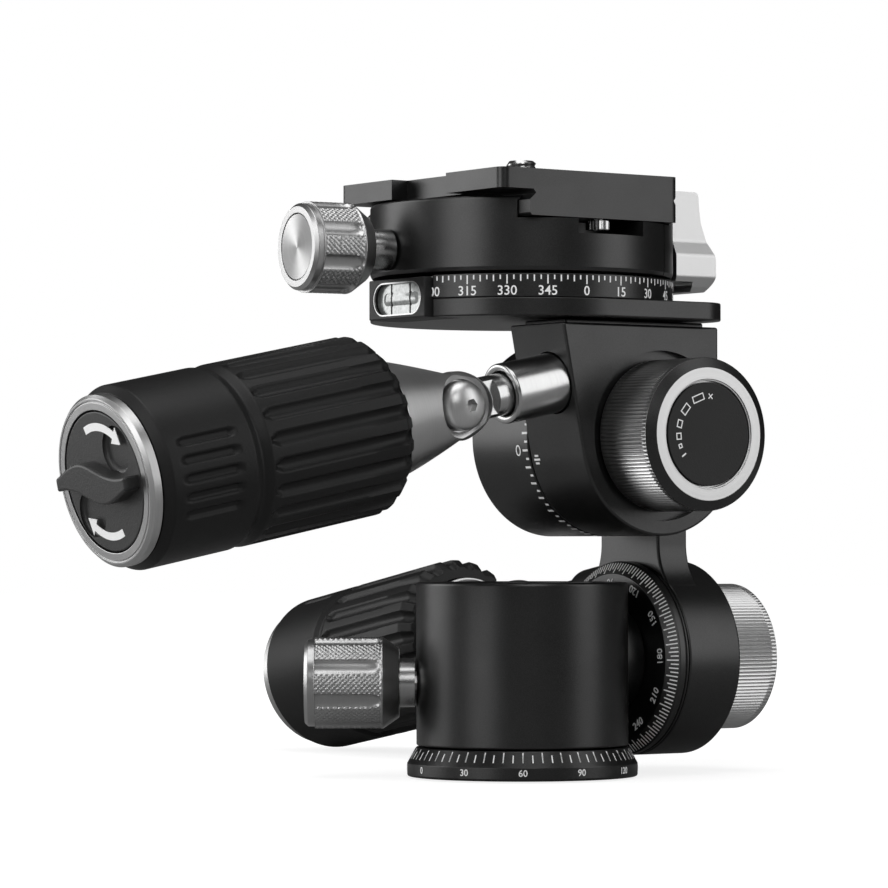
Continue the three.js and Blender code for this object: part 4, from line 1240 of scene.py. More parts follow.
def upright_zero(angle, height):
    """A nought on the drum's wall that stands along its rim."""
    turn = math.radians(angle)
    out = (math.cos(turn), math.sin(turn), 0)
    place = axes((DRUM_RADIUS * out[0], DRUM_RADIUS * out[1], height), (0, 0, 1), out)
    around = np.linspace(0, TURN, 33)[:-1]
    half_width, half_height, line = 0.8, 1.15, 0.3
    rim, hole = (
        [((half_width - inset) * math.cos(a), (half_height - inset) * math.sin(a)) for a in around]
        for inset in (0, line)
    )
    whole = combined(extruded(rim, -PRINT_SINK, PRINT_PROUD), [extruded(hole, -OVERRUN, OVERRUN)])
    return moved(whole, place)


def drum_scale(settings):
    """Marks round the upper drum, each second one longer, with the nought."""
    width = settings.mark_width * 1.5
    low, high, start, count = -2.6, -0.6, 188, 36
    return joined(
        marks_on_wall(DRUM_RADIUS, low + 1.1, high, width, count, None, start + 5),
        marks_on_wall(DRUM_RADIUS, low + 0.3, high, width, count, None, start),
        upright_zero(start, low - 1.2),
    )


class HEAD_OT_arm(bpy.types.Operator):
    """Build the arm that joins the two tilt axes, with the upper drum's scale"""

    bl_idname = "head.arm"
    bl_label = "Arm"

    def execute(self, context):
        back = -GAP - ARM_WIDTH
        lid = rod(LID_RADIUS, back, back + 2, SIDES, 0.4)
        black_piece("tilt_arm_body", tilt_arm(), UPRIGHT, "lower_tilt", "tilt_arm")
        black_print("upper_drum_print", drum_scale(context.scene.head_base), UPPER, "lower_tilt")
        black_piece("upper_drum_lid", lid, UPPER, "lower_tilt", "upper_drum_cover")
        return {"FINISHED"}


def upper_housing():
    """A drum with a block and a low plinth on top, hollowed for the drive."""
    slope = math.radians(UPPER_SLOPE)
    rise, right = 22.4, 14.8
    left = -(DRUM_RADIUS + rise * math.sin(slope)) / math.cos(slope)
    # The drum's wall ends where the block's right side starts.
    meet = math.degrees(math.acos(right / DRUM_RADIUS))
    outline = [*arc((0, 0), DRUM_RADIUS, 180 + UPPER_SLOPE, 360 + meet, 110), (right, rise), (left, rise)]
    body = bevelled(extruded(outline, 0, UPPER_DEPTH), 0.5, 3, 28)
    inset, step = 2.2, 0.9
    corner = (right - inset, rise + step, UPPER_DEPTH - inset)
    plinth = bevelled(block((left + inset, rise - OVERRUN, inset), corner), 0.4)
    recess = rod(RECESS_RADIUS, UPPER_DEPTH - RECESS_DEPTH, UPPER_DEPTH + OVERRUN, SIDES)
    rooms = drive_rooms(UPPER_WORM, UPPER_WORM_PLANE, UPPER_DEPTH)
    return combined(combined(body, [plinth], "UNION"), [*rooms, recess])


class HEAD_OT_upper_housing(bpy.types.Operator):
    """Build the upper housing, a drum with a block on top, and its index"""

    bl_idname = "head.upper_housing"
    bl_label = "Upper housing"

    def execute(self, context):
        width = context.scene.head_base.mark_width * 1.4
        index = joined(
            marks_on_wall(DRUM_RADIUS, 1.2, 3.1, width, 1, 1, 193.6),
            marks_on_wall(DRUM_RADIUS, 1.5, 2.7, width, 2, 4.4, 191.4),
        )
        black_piece("upper_housing_body", upper_housing(), UPPER, "upper_tilt", "upper_housing")
        black_print("upper_index_print", index, UPPER, "upper_tilt")
        return {"FINISHED"}


# Handles


class HandleSettings(bpy.types.PropertyGroup):
    """Forms of the two handles."""

    grip_flutes: count_setting("Grip flutes", 22, 6)
    grip_flute_depth: length_setting("Depth of the grip's flutes", 1.0)
    patch_slots: count_setting("Short grooves near a grip's end", 5, 0)
    thread_pitch: length_setting("Pitch of a worm", 2.76)


def hinge_pin():
    """A domed head with a hex socket on a plain pin, along Z from the hinge's axis."""
    radius, chamfer, tail = 2.0, 0.3, -CHEEK_HALF + 0.3
    seat, low, top = CHEEK_HALF - 1.9, CHEEK_HALF + 0.3, CHEEK_HALF + 3.1
    rise = top - low
    dome = [(PIN_HEAD_RADIUS * math.cos(a), low + rise * math.sin(a)) for a in np.linspace(0.1, 1.5, 14)]
    pin = turned([
        (0, tail), (radius - chamfer, tail), (radius, tail + chamfer), (radius, seat),
        (PIN_HEAD_RADIUS, seat),
        *dome,
        (0, top),
    ], SMALL_SIDES)
    socket = extruded(arc((0, 0), 1.35, 0, 300, 5), top - 1.8, top + OVERRUN)
    return combined(pin, [socket])


def along_pin(mesh):
    turn = Matrix.Translation((0, 0, HINGE)) @ Matrix.Rotation(math.pi / 2, 4, "Y")
    return moved(mesh, turn)


def worm_shaft(settings):
    """Thread, journal, and a flat tongue for the hinge."""
    neck, thread_half, start, journal = 2.1, 5.5, -9.5, 15.3
    mean, wave_height, thread_blank = 3.0, 0.5, 2.5

    def radius_of(r, z, angle):
        on_thread = (r > 2.4) & (z < 6.6)
        wave = mean + wave_height * np.cos(angle - TURN * z / settings.thread_pitch)
        return np.where(on_thread, wave, r)

    shaft = turned([
        (0, start), (neck, start), (neck, -thread_half - 0.1),
        *[(thread_blank, z) for z in np.linspace(-thread_half, thread_half, 56)],
        (neck, thread_half + 0.1), (neck, journal), (SHAFT_RADIUS, journal), (SHAFT_RADIUS, HINGE),
        (0, HINGE),
    ], SMALL_SIDES, TURN, radius_of)
    nose = along_pin(rod(SHAFT_RADIUS - 0.02, -TONGUE_HALF - 0.5, TONGUE_HALF + 0.5, SMALL_SIDES))
    flat_start, far, wide = 36.6, HINGE + 10, 9
    tools = [
        block((TONGUE_HALF, -wide, flat_start), (wide, wide, far)),
        block((-wide, -wide, flat_start), (-TONGUE_HALF, wide, far)),
        along_pin(rod(PIN_HOLE_RADIUS, -TONGUE_HALF * 2, TONGUE_HALF * 2)),
    ]
    return combined(combined(shaft, [nose], "UNION"), tools)


def handle_core():
    """A forked hinge end, a cone and the tube under the grip."""
    back, hinge_radius, widening, cone_radius = 8, 8.6, 3.8, 12.4
    root, tube_end, tube_bore, plug = HINGE - back, 124.7, 9.6, CONE_END + 6
    body = lathe([
        (0, root), (hinge_radius - back * widening / (CONE_END - HINGE), root), (cone_radius, CONE_END, 0.4),
        (CORE_RADIUS, CONE_END), (CORE_RADIUS, tube_end), (tube_bore, tube_end),
        (tube_bore, plug), (0, plug),
    ])
    # From the side the fork is round about the pin, and widens in step with the cone.
    lean, length, wide, far = 16.8, CONE_END - HINGE, CORE_RADIUS + OVERRUN, 80
    nose = arc((0, 0), CHEEK_RADIUS, 180 - lean, 360 + lean, 48)
    right = [(cone_radius + 0.05, length), (wide, length), (wide, far)]
    outline = [*nose, *right, *[(-x, y) for x, y in reversed(right)]]
    side = bevelled(extruded(outline, -wide, wide), 0.5, 3, 50)
    side = moved(side, axes((0, 0, HINGE), (0, -1, 0), (-1, 0, 0)))
    # Each cheek has a seat for the pin: a flat cone, and a steep one that opens it outwards.
    floor, lip, mouth = CHEEK_HALF - 1.6, CHEEK_HALF - 0.2, CHEEK_HALF + 6
    seat = turned([(0, floor), (3, floor), (6.4, lip), (8.3, mouth), (0, mouth)])
    far_seat = moved(seat.copy(), Matrix.Rotation(math.pi, 4, "X"))
    tools = [
        along_pin(seat),
        along_pin(far_seat),
        block((-TONGUE_HALF - GAP, -CORE_RADIUS, 0), (TONGUE_HALF + GAP, CORE_RADIUS, HINGE + 6.6)),
        rod(3.3, HINGE, CONE_END + 12),
        along_pin(rod(PIN_HOLE_RADIUS, -CORE_RADIUS, CORE_RADIUS)),
        along_pin(rod(PIN_HEAD_RADIUS + 0.4, CHEEK_HALF - 2.2, CORE_RADIUS)),
    ]
    return combined(combined(body, [side], "INTERSECT"), tools)


def grip(settings):
    """A rubber sleeve with long flutes from the waist on, and a patch of short ones."""
    inner = CORE_RADIUS + GAP
    waist_half = 1.8
    outside = eased([
        (inner, GRIP_START), (GRIP_RADIUS - 2.0, GRIP_START, 0.5), (GRIP_RADIUS, GRIP_START + 2.4, 1.5),
        (GRIP_RADIUS, BAND_START - waist_half, 1.5), (GRIP_RADIUS - 0.8, BAND_START, 1.0),
        (GRIP_RADIUS, BAND_START + waist_half, 1.5), (GRIP_RADIUS, GRIP_END - 1.6, 0.8),
        (GRIP_RADIUS - 1.4, GRIP_END), (inner, GRIP_END),
    ])
    sector = TURN / settings.grip_flutes
    columns = 20
    stop = BAND_START - 2.6

    def flute_depth(z, place):
        """Depth of a long flute; it deepens towards the hinge and ends in a bowl."""
        half = 0.6 * np.clip((stop - z) / 1.6, 0, 1) ** 0.5
        bowl = np.clip(1 - (place / np.maximum(half, 0.02)) ** 2, 0, 1) * (half > 0.04)
        deeper = 1 + 0.35 * step_between(-z, -GRIP_START - 12, -GRIP_START)
        return settings.grip_flute_depth * bowl**0.8 * deeper

    def radius_of(r, z, angle):
        place = np.abs((angle / sector) % 1.0 - 0.5) * 2
        outer = step_between(r, GRIP_RADIUS - 2.6, GRIP_RADIUS - 1.6)
        return r - outer * flute_depth(z, place)

    shell = repeated(turned(subdivided(outside, 0.7), columns, sector, radius_of), settings.grip_flutes)
    inside = turned([(inner, GRIP_END), (inner, GRIP_START)], columns * settings.grip_flutes)
    return grip_patch(settings, tidied(joined(shell, inside)))


def grip_patch(settings, mesh):
    """Presses a patch of short round-ended grooves into the band by the end ring."""
    centre, pitch, depth = -4.0, 11.5, 0.75
    low, high = BAND_START + 6.1, GRIP_END - 5.3

    def move(x, y, z):
        angle, radius = np.arctan2(y, x), np.hypot(x, y)
        press = np.zeros_like(radius)
        for index in range(settings.patch_slots):
            middle = math.radians(centre + (index - (settings.patch_slots - 1) / 2) * pitch)
            across = ((angle - middle + math.pi) % TURN - math.pi) * radius
            beyond = np.maximum(np.maximum(low - z, z - high), 0)
            press = np.maximum(press, depth * (1 - step_between(np.hypot(across, beyond), 0.45, 1.15)))
        press = press * (radius > GRIP_RADIUS - 0.6)
        share = (radius - press) / np.maximum(radius, 0.001)
        return x * share, y * share, z

    return wrapped(mesh, move)


def end_ring():
    """A plain ring with a fine groove near the rim of its face."""
    start, end, inner = GRIP_END + GAP, GRIP_END + GAP + 2.4, 13.6
    chamfer, land, groove, groove_side, groove_depth = 0.7, 0.4, 0.2, 0.05, 0.2
    groove_start = END_RING_RADIUS - chamfer - land
    groove_end = groove_start - groove - 2 * groove_side
    return lathe([
        (inner, start), (END_RING_RADIUS, start), (END_RING_RADIUS, end - chamfer),
        (END_RING_RADIUS - chamfer, end), (groove_start, end),
        (groove_start - groove_side, end - groove_depth), (groove_end + groove_side, end - groove_depth),
        (groove_end, end), (inner, end), (inner, start),
    ], 0.1)


def twist_lock():
    """A disc with a leaf-shaped finger blade, and a shallow bowl on each side of it."""
    start = TWIST_FACE - 2.0
    length, thin, thick, sway = 12.3, 1.3, 2.0, -1.3
    along = np.linspace(-length, length, 41)
    spine = sway * np.sin(along / length * math.pi) * (1 - 0.25 * np.abs(along / length))
    half = thin + thick * np.cos(along / length * math.pi / 2) ** 1.5
    outline = [*zip(along, spine - half), *reversed([*zip(along, spine + half)])]
    blade = bevelled(extruded(outline, start + 0.3, TWIST_FACE + 3.2), 0.9, 4, 40)
    bowls = [
        shifted(rod(4.6, 0, 3, SMALL_SIDES, 0.8), side * 6.0, side * 5.9, TWIST_FACE - 0.9)
        for side in (-1, 1)
    ]
    disc = rod(TWIST_RADIUS, start, TWIST_FACE, SIDES, EASE)
    return combined(combined(disc, bowls), [blade], "UNION")


def curved_arrow(start_angle, end_angle):
    """A thick arc with an arrowhead at its far end."""
    radius, half, wide, head_angle = 10.4, 0.75, 1.8, 15
    turn = math.radians(end_angle)
    point = math.radians(end_angle + math.copysign(head_angle, end_angle - start_angle))
    head = [(radius + wide, turn), (radius, point), (radius - wide, turn)]
    outline = [
        *arc((0, 0), radius + half, start_angle, end_angle, 16),
        *[(away * math.cos(angle), away * math.sin(angle)) for away, angle in head],
        *arc((0, 0), radius - half, end_angle, start_angle, 16),
    ]
    return extruded(outline, TWIST_FACE - 0.08, TWIST_FACE + PRINT_PROUD)


class HEAD_OT_handles(bpy.types.Operator):
    """Build the two worm shafts and folding handles"""

    bl_idname = "head.handles"
    bl_label = "Handles"

    def execute(self, context):
        settings = context.scene.head_handles
        for side, matrix in (("lower", LOWER @ LOWER_WORM), ("upper", UPPER @ UPPER_WORM)):
            handle, twist, tilt = f"{side}_handle", f"{side}_twist", f"{side}_tilt"
            worm = worm_shaft(settings)
            sleeve = ring(SHAFT_RADIUS + GAP, SLEEVE_RADIUS, SLEEVE_START, SLEEVE_END, SIDES, 0.7)
            arrows = joined(curved_arrow(112, 56), curved_arrow(-68, -124))
            core, pin = handle_core(), along_pin(hinge_pin())
            for name, mesh, body, slot, finish, node, sharp in (
                ("worm_shaft", worm, f"{side}_worm", "polished_steel", "steel", "worm", SHARP_ANGLE),
                ("sleeve_body", sleeve, tilt, "polished_steel", "steel", "worm_sleeve", SHARP_ANGLE),
                ("handle_core_body", core, handle, "silver_satin", "silver", "handle_core", SHARP_ANGLE),
                ("pin_body", pin, handle, "polished_steel", "satin", "hinge_pin", SHARP_ANGLE),
                ("handle_rubber", grip(settings), handle, "black_rubber", "rubber", "handle_grip", 60),
                ("handle_ring", end_ring(), handle, "silver_satin", "silver", "handle_end_ring", SHARP_ANGLE),
                ("twist_body", twist_lock(), twist, "black_disc", "lock", "twist_lock", SHARP_ANGLE),
            ):
                piece(f"{side}_{name}", mesh, matrix, body, finish, f"{side}_{node}", sharp)
            piece(f"{twist}_print", arrows, matrix, twist, "ink")
        return {"FINISHED"}


# Panning base


def pan_flange(room):
    """A round plate with one square corner, a stepped spindle and room for the level."""
    corner = 7.2
    edge = PAN_RADIUS - corner
    outline = [
        (0, -PAN_RADIUS),
        *arc((edge, -edge), corner, -90, 0, 20),
        *arc((0, 0), PAN_RADIUS, 0, 270, 160)[:-1],
    ]
    flange = bevelled(extruded(outline, PAN_BOTTOM, PAN_FLANGE_TOP), 0.3, 3, 40)
    step_radius, end_radius, end = 12, 8, 112.1
    spindle = turned([
        (0, PAN_BOTTOM + OVERRUN), (step_radius, PAN_BOTTOM + OVERRUN), (step_radius, PAN_SPINDLE_STEP),
        (end_radius, PAN_SPINDLE_STEP), (end_radius, end), (0, end),
    ])
    return combined(combined(flange, [spindle], "UNION"), [room])


def pan_scale(settings):
    """Marks of three lengths down from the ring's top edge, and figures under them."""
    start, first, last = 258.0, 198.0, 522.0
    width, step, top = settings.mark_width * 0.9, settings.ring_step, RING_TOP - 0.3
    count = round((last - first) / step)
    values = [value for value in range(0, 360, 15) if (start + value - first) % 360 <= last - first]
    return joined(
        marks_on_wall(PAN_RADIUS, top - 0.9, top, width, count, step, first, 2),
        marks_on_wall(PAN_RADIUS, top - 1.3, top, width, count // 2, 2 * step, first, 3),
        marks_on_wall(PAN_RADIUS, top - 1.8, top, width, count // 6, 6 * step, first),
        figures_on_wall(values, PAN_RADIUS, 98.0, settings.ring_figure_size, start),
    )


def window(radius, low, high):
    """A round-ended bar of the level's window, along Z."""
    right = arc((WINDOW_CENTRE, 0), radius, -90, 90, 16)
    return extruded([*right, *arc((-WINDOW_CENTRE, 0), radius, 90, 270, 16)], low, high)


def level_frame(facing):
    """The level's housing, with a round-ended window in its face."""
    low, high = (LEVEL_FACE, -LEVEL_HALF, PAN_BOTTOM), (LEVEL_FACE + LEVEL_DEPTH, LEVEL_HALF, RING_TOP - GAP)
    pocket = moved(window(WINDOW_RADIUS, -7.2, OVERRUN), facing)
    return combined(bevelled(block(low, high), 0.25, 2, 40), [pocket])


def level_vial():
    """A round-ended tube along Z."""
    end = VIAL_HALF - VIAL_RADIUS
    crown = [(VIAL_RADIUS * math.sin(a), end + VIAL_RADIUS * math.cos(a)) for a in np.linspace(0.0, 1.5, 12)]
    return turned([*[(r, -z) for r, z in crown], *reversed(crown)], SMALL_SIDES)


class HEAD_OT_pan_base(bpy.types.Operator):
    """Build the panning flange, its scale ring and the spirit level"""

    bl_idname = "head.pan_base"
    bl_label = "Panning base"

    def execute(self, context):
        side, depth = LEVEL_HALF + GAP, LEVEL_FACE + LEVEL_DEPTH + GAP
        room = block((LEVEL_FACE - OVERRUN, -side, PAN_BOTTOM - OVERRUN), (depth, side, RING_TOP + OVERRUN))
        flange = pan_flange(room.copy())
        scale_ring = combined(ring(26, PAN_RADIUS, PAN_FLANGE_TOP + GAP / 4, RING_TOP, SIDES, 0.12), [room])
        black_piece("pan_flange_body", flange, UPRIGHT, "upper_tilt", "pan_flange")
        black_piece("pan_ring_body", scale_ring, UPRIGHT, "upper_tilt", "pan_scale_ring")
        black_print("pan_scale_print", pan_scale(context.scene.head_base), UPRIGHT, "upper_tilt")

        middle = (PAN_BOTTOM + RING_TOP - GAP) / 2
        facing = axes((LEVEL_FACE, 0, middle), (0, -1, 0), (-1, 0, 0))
        lie = axes((LEVEL_FACE + 0.9 + VIAL_RADIUS, 0, middle), (1, 0, 0), (0, 1, 0))
        rim = combined(window(WINDOW_RADIUS - 0.02, -0.5, -0.1), [window(WINDOW_RADIUS - 0.3, -1, 1)])
        backing = window(WINDOW_RADIUS - 0.05, -6.9, -1.2)
        low, high, half, bar_half = VIAL_RADIUS - 0.1, VIAL_RADIUS + 0.06, 0.17, 0.14
        lines = joined(*[ring(low, high, z - half, z + half, SMALL_SIDES, 0.02) for z in VIAL_LINES])
        bars = joined(*[block((u - bar_half, -3.1, -1.3), (u + bar_half, 3.1, -1.1)) for u in VIAL_LINES])
        shell = level_frame(facing)
        piece("level_frame_body", shell, UPRIGHT, "upper_tilt", "disc", "level_frame")
        for name, mesh, matrix, finish, node in (
            ("level_window_rim", moved(rim, facing), UPRIGHT, "silver", ()),
            ("level_backing", moved(backing, facing), UPRIGHT, "vial", ()),
            ("level_vial_body", level_vial(), lie, "vial", "level_vial"),
            ("level_lines", lines, lie, "disc", ()),
            ("level_bars", moved(bars, facing), UPRIGHT, "disc", ()),
        ):
            piece(name, mesh, matrix, "upper_tilt", finish, node)
        return {"FINISHED"}


# Clamp and plate


def channel():
    """Room for the plate's dovetail, run along Y."""
    wall, foot, tip, above = 19.3, 116.0, 18.15, CLAMP_TOP + OVERRUN
    right = [(wall, CHANNEL_FLOOR), (wall, foot), (tip, CLAMP_TOP), (tip, above)]
    left = [(-x, z) for x, z in reversed(right)]
    return moved(extruded([*right, *left], -PAN_RADIUS - OVERRUN, PAN_RADIUS + OVERRUN), STANDING)


def beyond(start):
    """All of the clamp's room to the right of a plane."""
    far = PAN_RADIUS + OVERRUN
    return block((start, -far, CLAMP_BOTTOM - OVERRUN), (far, far, CLAMP_TOP + OVERRUN))


def clamp_blank():
    """A round block with the plate's channel and the lever's flat, before it is parted."""
    blank = lathe([
        (0, CLAMP_BOTTOM), (PAN_RADIUS - 0.4, CLAMP_BOTTOM, 0.2), (PAN_RADIUS, CLAMP_BOTTOM + 0.8),
        (PAN_RADIUS, CLAMP_TOP, 0.6), (0, CLAMP_TOP),
    ], EASE, 2 * SIDES)
    return combined(blank, [channel(), beyond(CLAMP_FLAT_X)])


def bolt_hole(low, high):
    lie = axes((0, LEVER_PIVOT[1], DRAW_BOLT_HEIGHT), (0, 0, 1), (1, 0, 0))
    return moved(rod(2.5, low, high), lie)


def clamp_body():
    """The clamp's fixed side, with rooms for the spindle, the nut, the bolt and the stops."""
    notch, notch_floor, far, above = 8.2, CHANNEL_FLOOR - 3, PAN_RADIUS + OVERRUN, CHANNEL_FLOOR + OVERRUN
    body = combined(clamp_blank(), [
        beyond(JAW_SPLIT - GAP),
        rod(12 + GAP, CLAMP_BOTTOM - OVERRUN, PAN_SPINDLE_STEP, SIDES),
        rod(13.7, PAN_SPINDLE_STEP - GAP, above, SIDES),
        block((-notch, -far, notch_floor), (notch, -NOTCH_START, above)),
        block((-notch, NOTCH_START, notch_floor), (notch, far, above)),
        moved(rod(STUD_HOLE_RADIUS, -20.2, OVERRUN), PAN_KNOB),
        bolt_hole(10.3, PAN_RADIUS),
    ])
    return bevelled(body, CLAMP_BEVEL, 2, 40)


def clamp_jaw():
    far = 40
    keep = block((JAW_SPLIT, -far, CLAMP_BOTTOM - 2), (far, far, CLAMP_TOP + 2))
    jaw = combined(clamp_blank(), [bolt_hole(0, PAN_RADIUS + OVERRUN)])
    return bevelled(combined(jaw, [keep], "INTERSECT"), CLAMP_BEVEL, 2, 40)


def clamp_lever():
    """A wavy bar along the jaw with a cam corner at its pivot."""
    inner, front, rear = CLAMP_FLAT_X + GAP, 16.5, 2.7
    outer = inner + LEVER_BULGE
    bottom, top, clear = 100, 120.9, math.hypot(LEVEL_FACE, LEVEL_HALF) + GAP
    below, above = bottom - OVERRUN, top + 1.1
    plan = [
        (inner, -front), (outer - 0.01, -front),
        *arc((outer - rear, LEVER_PIVOT[1]), rear, 0, 90, 12),
        *arc((inner + rear, LEVER_PIVOT[1]), rear, 90, 180, 12),
    ]
    shares = [(0.78, 0), (0.99, 0.12), (0.98, 0.36), (0.84, 0.52), (0.71, 0.7), (0.67, 0.85), (0.65, 1)]
    rise = [(inner + out * LEVER_BULGE, bottom + up * (top - bottom), 3.5) for out, up in shares]
    rise[0] = (*rise[0][:2], 0.8)
    rise[-1] = (*rise[-1][:2], 1.2)
    # Under the clamp the bar starts further out, clear of the level.
    foot = [(inner, top, 0.4), (inner, CLAMP_BOTTOM, 0.2), (clear, CLAMP_BOTTOM, 0.2), (clear, bottom)]
    section = eased([foot[-1], *rise, *foot], EASE, 6)[:-1]
    section = extruded(section, -rear - LEVER_PIVOT[1] - OVERRUN, front)
    # The near end waves as the outer side does.
    wave = [(13.4, below), (14.6, 101, 1.2), (15.3, 103.2, 2), (15.3, 107.6, 2), (13.9, 110.6, 2)]
    wave = [*wave, (13.9, above), (-30, above), (-30, below), wave[0]]
    wave = extruded(eased(wave, EASE, 8)[:-1], -50, -20)
    wave = moved(wave, axes((0, 0, 0), (0, -1, 0), (-1, 0, 0)))
    whole = combined(moved(section, STANDING), [extruded(plan, below, above)], "INTERSECT")
    whole = bevelled(combined(whole, [wave], "INTERSECT"), 0.3, 3, 50)
    slot_low = (inner - OVERRUN, LEVER_PIVOT[1] - 3.1, DRAW_BOLT_HEIGHT - 2.5)
    slot = block(slot_low, (37.1, 22, DRAW_BOLT_HEIGHT + 2.5))
    pin = shifted(rod(1.3, DRAW_BOLT_HEIGHT - 3.5, DRAW_BOLT_HEIGHT + 3.5), *LEVER_PIVOT, 0)
    return combined(combined(whole, [slot]), [pin], "UNION")


class HEAD_OT_clamp(bpy.types.Operator):
    """Build the clamp's body, jaw and lever"""

    bl_idname = "head.clamp"
    bl_label = "Clamp"

    def execute(self, context):
        black_piece("clamp_body_block", clamp_body(), UPRIGHT, "top_pan", "clamp_body")
        black_piece("clamp_jaw_block", clamp_jaw(), UPRIGHT, "clamp_jaw", "clamp_jaw")
        lever = clamp_lever()
        piece("clamp_lever_bar", lever, UPRIGHT, "clamp_lever", "silver", "clamp_lever")
        return {"FINISHED"}


def camera_plate():
    """A dovetail bar with a step at its left, room for the screw and holes for the stops."""
    waist, lip, side, edge, step = 17.5, 18.5, 19, 26, 18.1
    neck, roof, foot, shoulder, step_height = 117.3, 117.0, 116.0, 118.6, 118.1
    section = eased([
        (-lip, PLATE_BOTTOM), (lip, PLATE_BOTTOM), (side, PLATE_BOTTOM + 0.5), (side, foot),
        (waist, neck), (side, shoulder), (side, PLATE_TOP), (-edge, PLATE_TOP),
        (-edge, step_height), (-step, step_height), (-waist, neck), (-side, foot),
        (-side, PLATE_BOTTOM + 0.5), (-lip, PLATE_BOTTOM),
    ], 0.2, 2)
    half, round_radius = 28.4, 2.0
    front, right, left = half - round_radius, side - round_radius, round_radius - edge
    plan = []
    for x, y, start in ((right, front, 0), (left, front, 90), (left, -front, 180), (right, -front, 270)):
        plan.extend(arc((x, y), round_radius, start, start + 90, 8))
    bar_solid = moved(extruded(section[:-1], -half, half), STANDING)
    plan = extruded(plan, PLATE_BOTTOM - OVERRUN, PLATE_TOP + OVERRUN)
    plate = combined(bar_solid, [plan], "INTERSECT")
    plate = combined(plate, [block((-edge - 1, -9.5, 117.1), (-edge + 4, 9.5, PLATE_TOP + OVERRUN))])
    stop_holes = [shifted(rod(1.6, PLATE_BOTTOM - OVERRUN, roof), 0, end * STOP_PLACE, 0) for end in (-1, 1)]
    rooms = [rod(3.4, PLATE_BOTTOM, PLATE_TOP + OVERRUN), rod(8.7, PLATE_BOTTOM - OVERRUN, roof, SIDES)]
    return combined(bevelled(plate, 0.35, 3, 45), [*rooms, *stop_holes])


def camera_screw():
    """A slotted head under a threaded stud."""
    low, seat, radius, pitch, tip = 115.0, 116.7, 3.1, 1.27, PLATE_TOP + 4.4

    def radius_of(r, z, angle):
        on_thread = (r > radius - 0.2) & (r < radius + 0.1) & (z > seat + 0.3)
        return r - on_thread * 0.32 * (0.5 + 0.5 * np.cos(angle - TURN * z / pitch))

    screw = turned([
        (0, low), (8.4, low), (8.4, seat), (radius, seat),
        *[(radius, z) for z in np.linspace(seat + 0.1, tip - 0.5, 40)],
        (2.5, tip), (0, tip),
    ], SMALL_SIDES, TURN, radius_of)
    return combined(screw, [block((-6, -0.6, low - 0.5), (6, 0.6, low + 0.8))])


def stop_screw(side):
    """A stop screw, at the front for -1 and at the rear for 1, with a fluted head."""
    socket, shank, head, top = 0.9, 1.3, 2.4, 116.7
    profile = eased([
        (0, PLATE_BOTTOM - 1.4), (socket, PLATE_BOTTOM - 1.4), (socket, PLATE_BOTTOM - 2.2),
        (head, PLATE_BOTTOM - 2.2, 0.2), (head, PLATE_BOTTOM - GAP), (shank, PLATE_BOTTOM - GAP),
        (shank, top), (0, top),
    ], 0.08)
    fluted = turned(
        profile, SMALL_SIDES, TURN, lambda r, z, angle: r - (r > 2.3) * 0.11 * (1 + np.cos(angle * 20))
    )
    return shifted(fluted, 0, side * STOP_PLACE, 0)


class HEAD_OT_plate(bpy.types.Operator):
    """Build the camera plate with its screws"""

    bl_idname = "head.plate"
    bl_label = "Camera plate"

    def execute(self, context):
        black_piece("camera_plate_bar", camera_plate(), UPRIGHT, "plate", "camera_plate")
        for name, mesh, body, node in (
            ("camera_screw_body", camera_screw(), "camera_screw", "camera_screw"),
            ("front_stop_body", stop_screw(-1), "plate", "front_stop_screw"),
            ("rear_stop_body", stop_screw(1), "plate", "rear_stop_screw"),
        ):
            piece(name, mesh, UPRIGHT, body, "steel", node)
        return {"FINISHED"}


# Pieces of the frame that stay in view as they are: the finish goes by the name

CARRIED_FINISHES = {
    "wheel": "bronze",
    "lock_pad": "brass",
    "friction_pad": "plastic",
    "spring": "spring",
    "nut": "spring",
    "axle": "spring",
    "stud": "spring",
    "rod": "spring",
    "insert": "steel",
    "draw_bolt": "steel",
    "screw": "steel",
}


class HEAD_OT_inner(bpy.types.Operator):
    """Give every frame piece that stays in view its own finish"""

    bl_idname = "head.inner"
    bl_label = "Carried pieces"

    def execute(self, context):
        for name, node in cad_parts.items():
            if node.hide_render:
                continue
            finish = next((finish for key, finish in CARRIED_FINISHES.items() if key in name), "black")
            node.data.materials.clear()
            node.data.materials.append(MATERIALS[finish])
        return {"FINISHED"}


# Camera, lights and floor, in metres

STAGE_MIDDLE = (0.0, 0.03, 0.06)
FLOOR_HALF = 3.0
FLOOR_DROP = 0.0003
GLOW_START = 0.1
GLOW_END = 0.45


def power_setting(name, value):
    return FloatProperty(name=name, description="Power of the light, in watts", default=value, min=0)


class StageSettings(bpy.types.PropertyGroup):
    """Camera, lights and floor."""

    lens: FloatProperty(name="Lens", description="Focal length in millimetres", default=171.0, min=20)
    place: FloatVectorProperty(
        name="Camera place",
        description="Where the camera stands",
        default=(-0.5197, -0.6968, 0.047),
        subtype="TRANSLATION",
        unit="LENGTH",
    )
    yaw: FloatProperty(
        name="Yaw",
        description="The camera's turn to the right of +Y",
        default=math.radians(35.66),
        subtype="ANGLE",
    )
    pitch: FloatProperty(
        name="Pitch", description="How far the camera looks up", default=math.radians(1.4), subtype="ANGLE"
    )
    roll: FloatProperty(
        name="Roll",
        description="The camera's turn about its view",
        default=math.radians(0.08),
        subtype="ANGLE",
    )
    left: power_setting("Left light", 6.0)
    right: power_setting("Right light", 4.4)
    top: power_setting("Top light", 7.0)
    front: power_setting("Front light", 2.6)
    back: power_setting("Back light", 8.0)
    ambient: FloatProperty(name="Ambient", description="Light from all round", default=0.03, min=0)


